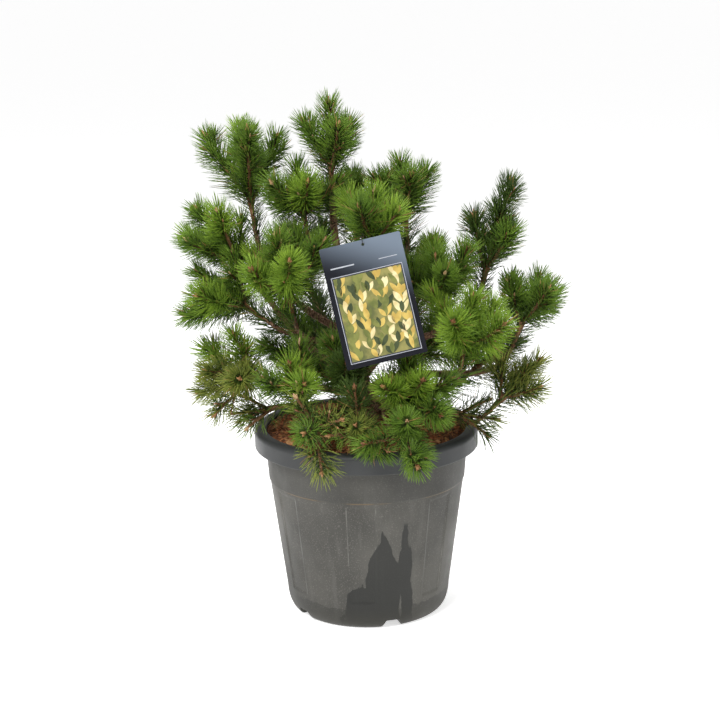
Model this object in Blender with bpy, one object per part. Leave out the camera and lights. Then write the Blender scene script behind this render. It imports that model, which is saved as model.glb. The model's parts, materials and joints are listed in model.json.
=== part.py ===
"""A mugo pine in its nursery pot: the pot, the soil in it, a leaning trunk, boughs,
masses of needles at the ends of the boughs, and a label hung on one of them.

Metres, +Z up. The origin is on the ground under the middle of the pot, and the front is -Y.
A heading is in degrees, anticlockwise from +X as seen from above. A lean is in degrees from upright.
"""

import math
import random
from collections import namedtuple

import bmesh
import bpy
import numpy as np

GAP = 0.0003
SEED = 5
CUT_PAST = 0.010
SHARP_FROM = 35.0

# Materials: name, colour and roughness
PLASTIC = ("dark_grey_plastic", (0.085, 0.085, 0.082), 0.55)
SOIL = ("bark_soil", (0.12, 0.045, 0.022), 0.95)
BARK = ("bark", (0.16, 0.075, 0.035), 0.9)
GREEN = ("needles", (0.10, 0.20, 0.035), 0.6)
CARD = ("glossy_card", (0.10, 0.12, 0.17), 0.3)
STRAP = ("black_strap", (0.01, 0.01, 0.01), 0.6)

# Pot: a tapered wall with shallow flutes, a collar a little proud of it, and a rolled lip
POT_HEIGHT = 0.333
POT_FOOT_RADIUS = 0.126
POT_EDGE_TOP = 0.040
POT_EDGE_RADIUS = 0.146
POT_STEP_HEIGHT = 0.241
POT_STEP_RADIUS = 0.1727
COLLAR_RADIUS = 0.1745
COLLAR_TOP_RADIUS = 0.1805
LIP_RADIUS = 0.198
LIP_BOTTOM = 0.299
LIP_ROUND = 0.009
LIP_ARC_POINTS = 3
MOUTH_EASE = 0.004
FOOT_BULGE = 0.0045
FOOT_BULGE_AT = 0.30
COLLAR_LEDGE = 0.002
POT_INSIDE_EASE = 0.002
POT_WALL = 0.0035
FLUTES = 7
FLUTE_DEPTH = 0.0020
FLUTE_HEADING = -94.0
FLUTE_HALF_WIDTH = 8.5
FLUTE_SLOPE = 2.0
FLUTE_BOTTOM = 0.052
FLUTE_TOP = 0.233
COLUMNS_BETWEEN_FLUTES = 1

# Notches round the foot, each with a drain hole in its roof
NOTCHES = 5
NOTCH_HEADING = -72.9
NOTCH_FOOT_WIDTH = 0.038
NOTCH_ROOF_WIDTH = 0.026
NOTCH_HEIGHT = 0.016
NOTCH_INNER_RADIUS = 0.103
DRAIN_RADIUS = 0.006
DRAIN_AT_RADIUS = 0.114
DRAIN_SIDES = 8

# Soil: level round the trunk, with a bumpy slope of (radius, height) places down to the wall
SOIL_TOP = 0.340
SOIL_AT_WALL = 0.313
SOIL_SLOPE = ((0.145, 0.318), (0.100, 0.330))
SOIL_LEVEL_RADIUS = 0.050
SOIL_BUMP = 0.003

# Trunk: from a flat cut at the soil to the tip that the leader grows on
TRUNK_FOOT = (0.011, 0.000)
TRUNK_HEADING = 151.0
TRUNK_LEAN = 14.0
TRUNK_RADIUS = 0.0125
TRUNK_TIP_RADIUS = 0.0052
TRUNK_FLARE = 0.008
TRUNK_FLARE_HEIGHT = 0.030
TRUNK_SIDES = 8
TRUNK_RINGS = 14
TRUNK_UPRIGHT = 0.010

# Boughs: each leaves its parent slanting and comes in line with the shoot that it carries
BOUGH_TIP_RADIUS = 0.0038
BOUGH_RADIUS = 0.0046
BOUGH_RADIUS_PER_LENGTH = 0.012
BOUGH_TO_PARENT = 0.72
BOUGH_LEAVES_AT = 58.0
BOUGH_START_PULL = 0.36
BOUGH_END_PULL = 0.34
BOUGH_STRAIGHT = 0.008
BOUGH_SIDES = 5
BOUGH_RINGS = 8

# Shoots: a stem up to a whorl, one shoot on from it and side shoots round it
STEM_LENGTH = 0.042
STEM_BARE = 0.35
STEM_RADIUS = 0.0038
WHORL_RADIUS = 0.0060
SHOOT_RADIUS = 0.0036
SHOOT_TIP_RADIUS = 0.0022
SHOOT_STEPS = 6
TOP_SIDES = 4
SIDE_SIDES = 3
SIDE_LENGTH_SPREAD = 0.10
TOP_LIFT = 0.12
SIDE_TURN_SPREAD = 14.0
SHOOT_LIFT = 0.45
SHOOT_CUTS = (1.0, 0.82, 0.66)
WHORL_STAGGER = 0.004
WHORL_LEVELS = 3

# Needles: each spike stands for a bundle, and the first section of a shoot is bare
FIRST_NEEDLED = 1
NEEDLE_LENGTH = 0.047
NEEDLE_LENGTH_SPREAD = 0.10
NEEDLE_FORWARD = 27.0
NEEDLE_FORWARD_AT_TIP = 56.0
BUD_LENGTH = 0.022
TIP_REACH = 0.020
NEEDLE_CUTS = (1.0, 0.8, 0.62, 0.45)
NEIGHBOURS_WITHIN = 0.25

# Room kept between a mass and what is beside it
BESIDE_LIMB = 0.0035
BESIDE_MASS = 0.0026
BESIDE_SHOOT = 0.0010
BESIDE_CORE = 0.012
BESIDE_POT = 0.005
BESIDE_TAG = 0.003
ABOVE_SOIL_WITHIN = 0.10
CROWN_BOTTOM = 0.213
SAMPLE_STEP = 0.004

# Label: a card hung in front of the crown, turned in its plane and leaning back
TAG_WIDTH = 0.135
TAG_HEIGHT = 0.202
TAG_THICKNESS = 0.0012
TAG_CORNER = 0.003
TAG_CORNER_POINTS = 4
TAG_HOLE_RADIUS = 0.0025
TAG_HOLE_SIDES = 12
TAG_HOLE_BELOW_EDGE = 0.0075
TAG_HOLE_ASIDE = 0.0045
TAG_AT = (0.014, -0.190, 0.595)
TAG_TURN = -12.5
TAG_LEAN = -11.5

# Tie: its places behind and above the card's hole, then half round a bough behind the card
TIE_IN_FRONT = ((0.0, 0.0), (-0.0034, 0.0007), (-0.0038, 0.0041), (-0.0025, 0.0104))
TIE_OVER_EDGE = (0.0027, 0.0125)
TIE_BEHIND = (0.0049, 0.0)
TIE_RADIUS = 0.0007
TIE_BOUGH = "centre"
TIE_ALONG = 0.86
TIE_SLACK = 0.0006
TIE_LEAD = 0.008
TIE_BENDS = 5
TIE_SIDES = 3
TIE_RINGS = 44
CURVE_STEPS = 12

# One row for each mass: its name, the limb that carries its bough and how far along that limb,
# where its whorl stands, how its top shoot runs out to the furthest needles, and its side shoots:
# how many, their length as a share of the top one's, their spread, and how far round from the
# outer or lower side the first stands, anticlockwise as seen from the tip
Mass = namedtuple(
    "Mass",
    "name parent along heading reach height top_heading top_lean top_length sides share spread first",
)
MASSES = (
    Mass("leader", "trunk", 1.00, 151, 0.062, 0.785, 180, 1, 0.130, 3, 0.66, 36, 9),
    Mass("upper_left", "trunk", 0.40, 171, 0.198, 0.732, 139, 10, 0.145, 4, 0.92, 34, 17),
    Mass("shoulder_left", "trunk", 0.62, 180, 0.103, 0.716, 122, 16, 0.098, 5, 0.84, 62, 66),
    Mass("outer_left", "trunk", 0.22, -175, 0.218, 0.632, 166, 40, 0.133, 4, 0.80, 42, 41),
    Mass("centre_left", "trunk", 0.34, -148, 0.152, 0.585, -127, 17, 0.128, 5, 0.86, 48, 70),
    Mass("centre", "trunk", 0.46, -80, 0.080, 0.672, 20, 4, 0.103, 4, 0.85, 44, -44),
    Mass("centre_back", "trunk", 0.52, 39, 0.095, 0.692, 118, 10, 0.117, 4, 0.80, 36, -39),
    Mass("right_tall", "trunk", 0.27, 5, 0.215, 0.605, 12, 16, 0.175, 3, 0.55, 28, -65),
    Mass("right_inner", "right_tall", 0.45, -9, 0.132, 0.568, -104, 26, 0.100, 4, 0.95, 42, 71),
    Mass("far_right_upper", "trunk", 0.17, 6, 0.280, 0.507, 27, 25, 0.105, 4, 0.82, 46, 15),
    Mass("right_bright", "far_right_upper", 0.36, -36, 0.206, 0.502, -64, 18, 0.110, 4, 0.88, 52, -76),
    Mass("right_mid", "trunk", 0.09, 10, 0.206, 0.428, -24, 47, 0.100, 3, 0.80, 45, 60),
    Mass("far_right_lower", "right_mid", 0.45, -12, 0.245, 0.392, 10, 48, 0.107, 3, 0.72, 45, -41),
    Mass("front_right", "trunk", 0.13, -62, 0.158, 0.414, -72, 54, 0.095, 4, 0.92, 50, 0),
    Mass("front_low_right", "front_right", 0.42, -71, 0.200, 0.370, -90, 62, 0.100, 4, 0.90, 52, 15),
    Mass("front_low_mid", "trunk", 0.05, -94, 0.170, 0.371, -95, 71, 0.092, 3, 0.85, 50, 180),
    Mass("centre_left_low", "trunk", 0.10, -133, 0.164, 0.420, -110, 36, 0.098, 3, 0.85, 42, 60),
    Mass("front_low_left", "centre_left_low", 0.40, -117, 0.185, 0.375, -103, 84, 0.100, 4, 0.92, 45, 30),
    Mass("behind_tag", "trunk", 0.20, -114, 0.088, 0.426, -140, 17, 0.105, 4, 0.80, 50, 34),
    Mass("right_low", "trunk", 0.05, -17, 0.174, 0.362, 8, 104, 0.080, 3, 0.80, 40, 60),
    Mass("left_mid", "outer_left", 0.50, -169, 0.212, 0.560, 166, 58, 0.118, 5, 0.84, 50, 0),
    Mass("left_low", "trunk", 0.14, -169, 0.205, 0.430, -150, 76, 0.104, 5, 0.88, 50, 36),
    Mass("left_bottom", "left_low", 0.45, -167, 0.176, 0.374, -171, 98, 0.080, 3, 0.80, 40, 180),
    Mass("back_top", "trunk", 0.42, 95, 0.140, 0.660, 95, 22, 0.120, 4, 0.85, 42, 0),
    Mass("back_left", "trunk", 0.28, 124, 0.195, 0.570, 128, 38, 0.122, 5, 0.85, 50, 0),
    Mass("back_right", "trunk", 0.22, 58, 0.195, 0.535, 54, 38, 0.122, 5, 0.85, 50, 0),
    Mass("back_low_left", "trunk", 0.16, 120, 0.195, 0.425, 126, 60, 0.120, 5, 0.90, 50, 0),
    Mass("back_low_right", "trunk", 0.12, 60, 0.195, 0.420, 52, 60, 0.120, 5, 0.90, 50, 36),
)

Limb = namedtuple("Limb", "points radii sides")
Shoot = namedtuple("Shoot", "mass points radii sides")


# Vectors and curves
def unit(vector):
    return vector / np.linalg.norm(vector)


def at(heading, reach, height):
    turn = math.radians(heading)
    return np.array([reach * math.cos(turn), reach * math.sin(turn), height])


def toward(heading, lean):
    tilt = math.radians(lean)
    flat = at(heading, math.sin(tilt), 0.0)
    return flat + np.array([0.0, 0.0, math.cos(tilt)])


def turned(vector, axis, degrees):
    """The vector turned about a unit axis."""
    turn = math.radians(degrees)
    along = axis * np.dot(axis, vector) * (1 - math.cos(turn))
    return vector * math.cos(turn) + np.cross(axis, vector) * math.sin(turn) + along


def outer_side(axis, heading):
    """A unit vector square to the axis: outward for an upright one, downward for a level one."""
    wanted = at(heading, 0.5, -1.0)
    return unit(wanted - axis * np.dot(wanted, axis))


def bezier(ends, count):
    t = np.linspace(0.0, 1.0, count)[:, None]
    a, b, c, d = ends
    return (1 - t) ** 3 * a + 3 * t * (1 - t) ** 2 * b + 3 * t**2 * (1 - t) * c + t**3 * d


def along_line(points, share):
    """The point and the direction at a share of the way along a line of points."""
    place = share * (len(points) - 1)
    start = min(int(place), len(points) - 2)
    step = points[start + 1] - points[start]
    return points[start] + step * (place - start), unit(step)


def directions(points, closed=False):
    if closed:
        return np.array([unit(v) for v in np.roll(points, -1, 0) - np.roll(points, 1, 0)])
    return np.array([unit(v) for v in np.gradient(points, axis=0)])


def rings(points, radii, sides, twist=0.0, closed=False):
    """Rings of corners square to a line, each carried on from the one before it and then twisted."""
    found = []
    ways = directions(points, closed)
    across = outer_side(ways[0], 90.0)
    turn = 0.0
    for point, radius, way in zip(points, radii, ways):
        across = unit(across - way * np.dot(across, way))
        other = np.cross(way, across)
        angles = np.arange(sides) * 2 * math.pi / sides + math.radians(turn)
        spokes = np.outer(np.cos(angles), across) + np.outer(np.sin(angles), other)
        found.append(point + radius * spokes)
        turn += twist
    return found


# Objects
def material(name, colour, roughness):
    made = bpy.data.materials.new(name)
    made.use_nodes = True
    made.diffuse_color = (*colour, 1.0)
    surface = made.node_tree.nodes["Principled BSDF"]
    surface.inputs["Base Color"].default_value = (*colour, 1.0)
    surface.inputs["Roughness"].default_value = roughness
    surface.inputs["Metallic"].default_value = 0.0
    return made


def mesh_object(name, corners, faces, surface=None):
    mesh = bpy.data.meshes.new(name)
    mesh.from_pydata([tuple(map(float, corner)) for corner in corners], [], faces)
    mesh.update()
    made = bpy.data.objects.new(name, mesh)
    bpy.context.scene.collection.objects.link(made)
    if surface:
        mesh.materials.append(surface)
    return made


def drop(thing):
    mesh = thing.data
    bpy.data.objects.remove(thing)
    bpy.data.meshes.remove(mesh)


def apply_modifiers(thing):
    graph = bpy.context.evaluated_depsgraph_get()
    solid = bpy.data.meshes.new_from_object(thing.evaluated_get(graph))
    thing.modifiers.clear()
    old = thing.data
    solid.name = old.name
    thing.data = solid
    bpy.data.meshes.remove(old)


def boolean(target, others, operation, solver="EXACT"):
    """One Boolean with a collection of the others, applied, with the others then removed."""
    group = bpy.data.collections.new("boolean")
    bpy.context.scene.collection.children.link(group)
    for other in others:
        bpy.context.scene.collection.objects.unlink(other)
        group.objects.link(other)
    step = target.modifiers.new("boolean", "BOOLEAN")
    step.operation = operation
    step.operand_type = "COLLECTION"
    step.collection = group
    step.solver = solver
    apply_modifiers(target)
    for other in others:
        drop(other)
    bpy.data.collections.remove(group)


def keep_main_shell(thing):
    """Drops loose scraps, and the inner shells of hollows that a union sealed."""
    shape = bmesh.new()
    shape.from_mesh(thing.data)
    left = set(shape.faces)
    shells = []
    while left:
        shell = {left.pop()}
        rim = shell
        while rim:
            edges = {edge for face in rim for edge in face.edges}
            rim = {face for edge in edges for face in edge.link_faces} & left
            left -= rim
            shell |= rim
        shells.append(shell)
    main_shell = max(shells, key=len)
    spare = [face for shell in shells if shell is not main_shell for face in shell]
    bmesh.ops.delete(shape, geom=spare, context="FACES")
    shape.to_mesh(thing.data)
    shape.free()


def ring_faces(count, sides, first=0, closed=False):
    """The four-cornered faces between rings of corners that follow each other."""
    faces = []
    for ring in range(count if closed else count - 1):
        low = first + ring * sides
        high = first + (ring + 1) % count * sides
        for side in range(sides):
            after = (side + 1) % sides
            faces.append((low + side, low + after, high + after, high + side))
    return faces


def tube(points, radii, sides):
    """The corners and faces of a closed tube with flat ends."""
    found = rings(points, radii, sides)
    faces = ring_faces(len(found), sides)
    last = (len(found) - 1) * sides
    faces.append(tuple(reversed(range(sides))))
    faces.append(tuple(range(last, last + sides)))
    return np.concatenate(found), faces


def prism(outline, start, end, axes):
    """An outline of (across, up) places, run along a third direction from start to end."""
    across, along, up = axes
    corners = [across * a + up * u + along * start for a, u in outline]
    corners += [across * a + up * u + along * end for a, u in outline]
    count = len(outline)
    faces = [tuple(range(count)), tuple(reversed(range(count, 2 * count)))]
    for here in range(count):
        after = (here + 1) % count
        faces.append((here, count + here, count + after, after))
    return np.array(corners), faces


def outward(thing):
    """Turns an object's faces out."""
    shape = bmesh.new()
    shape.from_mesh(thing.data)
    bmesh.ops.recalc_face_normals(shape, faces=shape.faces)
    shape.to_mesh(thing.data)
    shape.free()
    return thing


def turned_solid(name, profile, headings, surface=None, radius_at=None):
    """A solid turned round Z from a profile of (radius, height) that starts and ends on the axis."""
    middle = profile[1:-1]
    corners = [(0.0, 0.0, profile[0][1])]
    for radius, height in middle:
        for heading in headings:
            reach = radius_at(radius, height, heading) if radius_at else radius
            corners.append(at(heading, reach, height))
    corners.append((0.0, 0.0, profile[-1][1]))
    sides = len(headings)
    faces = ring_faces(len(middle), sides, first=1)
    top = len(corners) - 1
    for side in range(sides):
        after = (side + 1) % sides
        faces.append((0, 1 + after, 1 + side))
        faces.append((top, top - sides + side, top - sides + after))
    return outward(mesh_object(name, corners, faces, surface))


# Pot
def flute_headings():
    """Columns at both foot and head of each flute's slopes, its middle, and between flutes."""
    period = 360.0 / FLUTES
    shoulder = FLUTE_HALF_WIDTH + FLUTE_SLOPE
    floor = FLUTE_HALF_WIDTH - FLUTE_SLOPE
    between = np.linspace(shoulder, period - shoulder, COLUMNS_BETWEEN_FLUTES + 2)
    offsets = [-floor, 0.0, floor, *between]
    return [FLUTE_HEADING + period * flute + turn for flute in range(FLUTES) for turn in offsets]


def fluted(radius, height, heading):
    """The wall's radius, less where a flute runs down it."""
    if not FLUTE_BOTTOM < height < FLUTE_TOP:
        return radius
    period = 360.0 / FLUTES
    aside = abs((heading - FLUTE_HEADING + period / 2) % period - period / 2)
    return radius - FLUTE_DEPTH * (aside < FLUTE_HALF_WIDTH)


def arc(centre, radius, start, end, count):
    """Places on a quarter of a circle or less, in the plane of (radius, height)."""
    turns = np.radians(np.linspace(start, end, count))
    return [(centre[0] + radius * math.cos(t), centre[1] + radius * math.sin(t)) for t in turns]


def wall_radius(height):
    share = (height - POT_EDGE_TOP) / (POT_STEP_HEIGHT - POT_EDGE_TOP)
    return POT_EDGE_RADIUS + (POT_STEP_RADIUS - POT_EDGE_RADIUS) * share


def inner_profile(shrink=0.0):
    """The inside of the pot from its floor up, drawn in all round by shrink."""
    wall = POT_WALL + shrink
    return [
        (0.0, wall),
        (POT_FOOT_RADIUS - wall + POT_INSIDE_EASE, wall),
        (POT_EDGE_RADIUS - wall - POT_INSIDE_EASE, POT_EDGE_TOP),
        (POT_STEP_RADIUS - wall - FLUTE_DEPTH / 2, POT_STEP_HEIGHT),
        (COLLAR_TOP_RADIUS - wall, LIP_BOTTOM),
    ]


def outer_profile():
    """The pot's outside from the middle of its foot up to the top of its lip."""
    edge = (POT_FOOT_RADIUS + POT_EDGE_RADIUS) / 2
    lift = (FLUTE_BOTTOM - POT_EDGE_TOP) / 2
    roll = (LIP_RADIUS - LIP_ROUND, POT_HEIGHT - LIP_ROUND)
    under_lip = POT_HEIGHT - 2 * POT_WALL
    skirt = LIP_RADIUS - POT_WALL
    return [
        (0.0, 0.0),
        (POT_FOOT_RADIUS, 0.0),
        (edge + FOOT_BULGE, POT_EDGE_TOP * FOOT_BULGE_AT),
        (POT_EDGE_RADIUS, POT_EDGE_TOP),
        (wall_radius(FLUTE_BOTTOM - lift), FLUTE_BOTTOM - lift),
        (wall_radius(FLUTE_BOTTOM + lift), FLUTE_BOTTOM + lift),
        (wall_radius(FLUTE_TOP - lift), FLUTE_TOP - lift),
        (POT_STEP_RADIUS, POT_STEP_HEIGHT),
        (COLLAR_RADIUS, POT_STEP_HEIGHT + COLLAR_LEDGE),
        (COLLAR_TOP_RADIUS, LIP_BOTTOM),
        (COLLAR_TOP_RADIUS, under_lip),
        (skirt, under_lip),
        (skirt, LIP_BOTTOM),
        (LIP_RADIUS, LIP_BOTTOM),
        *arc(roll, LIP_ROUND, 0, 90, LIP_ARC_POINTS),
        (COLLAR_TOP_RADIUS - POT_WALL + MOUTH_EASE, POT_HEIGHT),
        (0.0, POT_HEIGHT),
    ]


def notch_prism(name, heading, grown, outer_radius):
    """A notch's shape, grown on its sides, its roof and its inner end."""
    half_foot = NOTCH_FOOT_WIDTH / 2 + grown
    half_roof = NOTCH_ROOF_WIDTH / 2 + grown
    outline = [
        (-half_foot, -CUT_PAST),
        (half_foot, -CUT_PAST),
        (half_foot, 0.0),
        (half_roof, NOTCH_HEIGHT + grown),
        (-half_roof, NOTCH_HEIGHT + grown),
        (-half_foot, 0.0),
    ]
    along = at(heading, 1.0, 0.0)
    up = np.array([0.0, 0.0, 1.0])
    axes = (np.cross(up, along), along, up)
    corners, faces = prism(outline, NOTCH_INNER_RADIUS - grown, outer_radius, axes)
    return outward(mesh_object(name, corners, faces))


def notch_headings():
    return [NOTCH_HEADING + 360.0 / NOTCHES * notch for notch in range(NOTCHES)]


def build_pot():
    headings = flute_headings()
    pot = turned_solid("pot", outer_profile(), headings, material(*PLASTIC), fluted)
    mouth = COLLAR_TOP_RADIUS - POT_WALL
    inside = [
        *inner_profile(),
        (mouth, POT_HEIGHT - MOUTH_EASE),
        (mouth + MOUTH_EASE, POT_HEIGHT),
        (mouth + MOUTH_EASE * 1.5, POT_HEIGHT + CUT_PAST),
        (0.0, POT_HEIGHT + CUT_PAST),
    ]
    cavity = turned_solid("cavity", inside, headings)
    boolean(cavity, [notch_prism("hood", h, POT_WALL, LIP_RADIUS) for h in notch_headings()], "DIFFERENCE")
    cutters = [cavity]
    for heading in notch_headings():
        cutters.append(notch_prism("notch", heading, 0.0, LIP_RADIUS))
        middle = at(heading, DRAIN_AT_RADIUS, NOTCH_HEIGHT)
        ends = np.array([middle, middle])
        ends[0, 2] -= 2 * POT_WALL
        ends[1, 2] += 2 * POT_WALL
        cutters.append(outward(mesh_object("drain", *tube(ends, (DRAIN_RADIUS,) * 2, DRAIN_SIDES))))
    boolean(pot, cutters, "DIFFERENCE")
    shade(pot)


def build_soil():
    noise = random.Random(SEED)
    wall = inner_profile(GAP)
    inside = COLLAR_TOP_RADIUS - POT_WALL - GAP
    level = [(SOIL_LEVEL_RADIUS, SOIL_TOP), (0.0, SOIL_TOP)]
    profile = [*wall, (inside, SOIL_AT_WALL), *SOIL_SLOPE, *level]
    soil = turned_solid("soil", profile, flute_headings(), material(*SOIL))
    for corner in soil.data.vertices:
        reach = math.hypot(corner.co.x, corner.co.y)
        if any(abs(reach - radius) < GAP for radius, _ in SOIL_SLOPE) and corner.co.z > SOIL_AT_WALL:
            corner.co.z += noise.uniform(-SOIL_BUMP, SOIL_BUMP)
    hoods = [notch_prism("hood", h, POT_WALL + GAP, LIP_RADIUS) for h in notch_headings()]
    boolean(soil, hoods, "DIFFERENCE")


# Trunk and boughs
def trunk_limb():
    foot = np.array([*TRUNK_FOOT, SOIL_TOP + GAP])
    leader = MASSES[0]
    top = toward(leader.top_heading, leader.top_lean)
    tip = at(leader.heading, leader.reach, leader.height) - top * (STEM_LENGTH + GAP)
    pull = (tip[2] - foot[2]) / 3
    start = foot + toward(TRUNK_HEADING, TRUNK_LEAN) * pull
    end = tip - top * pull
    joint = tip - top * BOUGH_STRAIGHT
    knee = foot + np.array([0.0, 0.0, TRUNK_UPRIGHT])
    run = bezier((knee, start, end, joint), TRUNK_RINGS - 2)
    points = np.concatenate([[foot], run, [tip]])
    share = np.linspace(0.0, 1.0, TRUNK_RINGS)
    rise = points[:, 2] - foot[2]
    radii = TRUNK_RADIUS + (TRUNK_TIP_RADIUS - TRUNK_RADIUS) * share
    radii = radii + TRUNK_FLARE * np.maximum(0.0, 1 - rise / TRUNK_FLARE_HEIGHT) ** 2
    return Limb(points, radii, TRUNK_SIDES)


def bough_limb(mass, parent):
    """A bough from its parent's middle to a stem's length short of the whorl."""
    start, way = along_line(parent.points, mass.along)
    whorl = at(mass.heading, mass.reach, mass.height)
    top = toward(mass.top_heading, mass.top_lean)
    tip = whorl - top * (STEM_LENGTH + GAP)
    span = np.linalg.norm(tip - start)
    out = tip - start
    out = unit(out - way * np.dot(out, way))
    leaves = turned(way, unit(np.cross(way, out)), BOUGH_LEAVES_AT)
    joint = tip - top * BOUGH_STRAIGHT
    ends = (start, start + leaves * span * BOUGH_START_PULL, joint - top * span * BOUGH_END_PULL, joint)
    points = np.concatenate([bezier(ends, BOUGH_RINGS - 1), [tip]])
    widest = np.interp(mass.along, np.linspace(0, 1, len(parent.radii)), parent.radii)
    radius = min(BOUGH_RADIUS + BOUGH_RADIUS_PER_LENGTH * span, widest * BOUGH_TO_PARENT)
    radii = np.linspace(radius, BOUGH_TIP_RADIUS, BOUGH_RINGS)
    return Limb(points, radii, BOUGH_SIDES)


def grow_limbs():
    limbs = {"trunk": trunk_limb()}
    for mass in MASSES[1:]:
        limbs[mass.name] = bough_limb(mass, limbs[mass.parent])
    return limbs


def build_limbs(limbs):
    bark = material(*BARK)
    solids = {"trunk": mesh_object("trunk", *tube(*limbs["trunk"]), bark)}
    for mass in MASSES[1:]:
        parent = limbs[mass.parent]
        bough = mesh_object("bough_" + mass.name, *tube(*limbs[mass.name]), bark)
        grown = parent.radii + GAP / math.cos(math.pi / parent.sides)
        cutter = mesh_object("cutter", *tube(parent.points, grown, parent.sides))
        boolean(bough, [cutter], "DIFFERENCE")
        solids[mass.name] = bough
    for solid in solids.values():
        shade(solid)


# Label and tie
def tag_axes():
    """The card's own right, back and up directions."""
    right = turned(np.array([1.0, 0.0, 0.0]), np.array([0.0, 1.0, 0.0]), TAG_TURN)
    up = turned(np.array([0.0, 0.0, 1.0]), np.array([0.0, 1.0, 0.0]), TAG_TURN)
    lean = np.array([1.0, 0.0, 0.0])
    right = turned(right, lean, TAG_LEAN)
    up = turned(up, lean, TAG_LEAN)
    return right, np.cross(up, right), up


def tag_place(aside, back, up):
    axes = tag_axes()
    return np.array(TAG_AT) + axes[0] * aside + axes[1] * back + axes[2] * up


def tag_hole():
    return TAG_HOLE_ASIDE, TAG_HEIGHT / 2 - TAG_HOLE_BELOW_EDGE


def build_tag():
    half_width = TAG_WIDTH / 2 - TAG_CORNER
    half_height = TAG_HEIGHT / 2 - TAG_CORNER
    outline = []
    for turn, across, up in ((0, 1, 1), (90, -1, 1), (180, -1, -1), (270, 1, -1)):
        centre = (across * half_width, up * half_height)
        outline += arc(centre, TAG_CORNER, turn, turn + 90, TAG_CORNER_POINTS)
    corners, faces = prism(outline, -TAG_THICKNESS / 2, TAG_THICKNESS / 2, np.eye(3))
    tag = outward(mesh_object("tag", corners, faces, material(*CARD)))
    aside, up = tag_hole()
    ends = np.array([(aside, -CUT_PAST, up), (aside, CUT_PAST, up)])
    hole = outward(mesh_object("hole", *tube(ends, (TAG_HOLE_RADIUS,) * 2, TAG_HOLE_SIDES)))
    boolean(tag, [hole], "DIFFERENCE")
    tag.location = TAG_AT
    tag.rotation_mode = "YXZ"
    tag.rotation_euler = (math.radians(TAG_LEAN), math.radians(TAG_TURN), 0.0)


def tie_route(limbs):
    """A closed line through the card's hole, over its top edge and round the bough behind it."""
    limb = limbs[TIE_BOUGH]
    middle, way = along_line(limb.points, TIE_ALONG)
    radius = np.interp(TIE_ALONG, np.linspace(0, 1, len(limb.radii)), limb.radii)
    room = radius + TIE_RADIUS + TIE_SLACK
    aside, hole_up = tag_hole()
    hole = tag_place(aside, 0.0, hole_up)
    back = unit((middle - hole) - way * np.dot(middle - hole, way))
    left = np.cross(back, way)
    over, under = (tag_place(aside, off, hole_up + up) for off, up in (TIE_OVER_EDGE, TIE_BEHIND))
    bends = np.radians(np.linspace(-90.0, 90.0, TIE_BENDS))
    knots = [
        *(tag_place(aside, off, hole_up + up) for off, up in TIE_IN_FRONT),
        over,
        over + unit(middle - over) * TIE_LEAD,
        *(middle + room * (left * math.sin(bend) + back * math.cos(bend)) for bend in bends),
        under + unit(middle - under) * TIE_LEAD,
        under,
    ]
    return closed_curve(knots, TIE_RINGS)


def closed_curve(knots, count):
    """Even places on a smooth closed line through the knots."""
    knots = np.array(knots)
    fine = []
    for here in range(len(knots)):
        a, b, c, d = (knots[(here + step) % len(knots)] for step in (-1, 0, 1, 2))
        for t in np.linspace(0.0, 1.0, CURVE_STEPS, endpoint=False):
            run = 2 * b + (c - a) * t + (2 * a - 5 * b + 4 * c - d) * t**2
            fine.append(0.5 * (run + (3 * b - a - 3 * c + d) * t**3))
    fine = np.array(fine)
    steps = np.linalg.norm(np.roll(fine, -1, 0) - fine, axis=1)
    reach = np.concatenate([[0.0], np.cumsum(steps)])
    wanted = np.linspace(0.0, reach[-1], count, endpoint=False)
    again = np.concatenate([fine, fine[:1]])
    return np.stack([np.interp(wanted, reach, again[:, axis]) for axis in range(3)], axis=1)


def build_tie(route):
    radii = np.full(len(route), TIE_RADIUS)
    found = rings(route, radii, TIE_SIDES, closed=True)
    faces = ring_faces(len(found), TIE_SIDES, closed=True)
    outward(mesh_object("tag_tie", np.concatenate(found), faces, material(*STRAP)))


# Shoots
def evenly(points, step):
    """Places along a line, a step apart at most."""
    found = [points[:1]]
    for a, b in zip(points[:-1], points[1:]):
        count = max(1, math.ceil(np.linalg.norm(b - a) / step))
        found.append(a + (b - a) * (np.arange(1, count + 1) / count)[:, None])
    return np.concatenate(found)


def nearest(places, cloud):
    """Each place's distance to the nearest point of a cloud."""
    if not len(cloud):
        return np.full(len(places), np.inf)
    return np.linalg.norm(places[:, None] - cloud[None], axis=2).min(axis=1)


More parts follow.
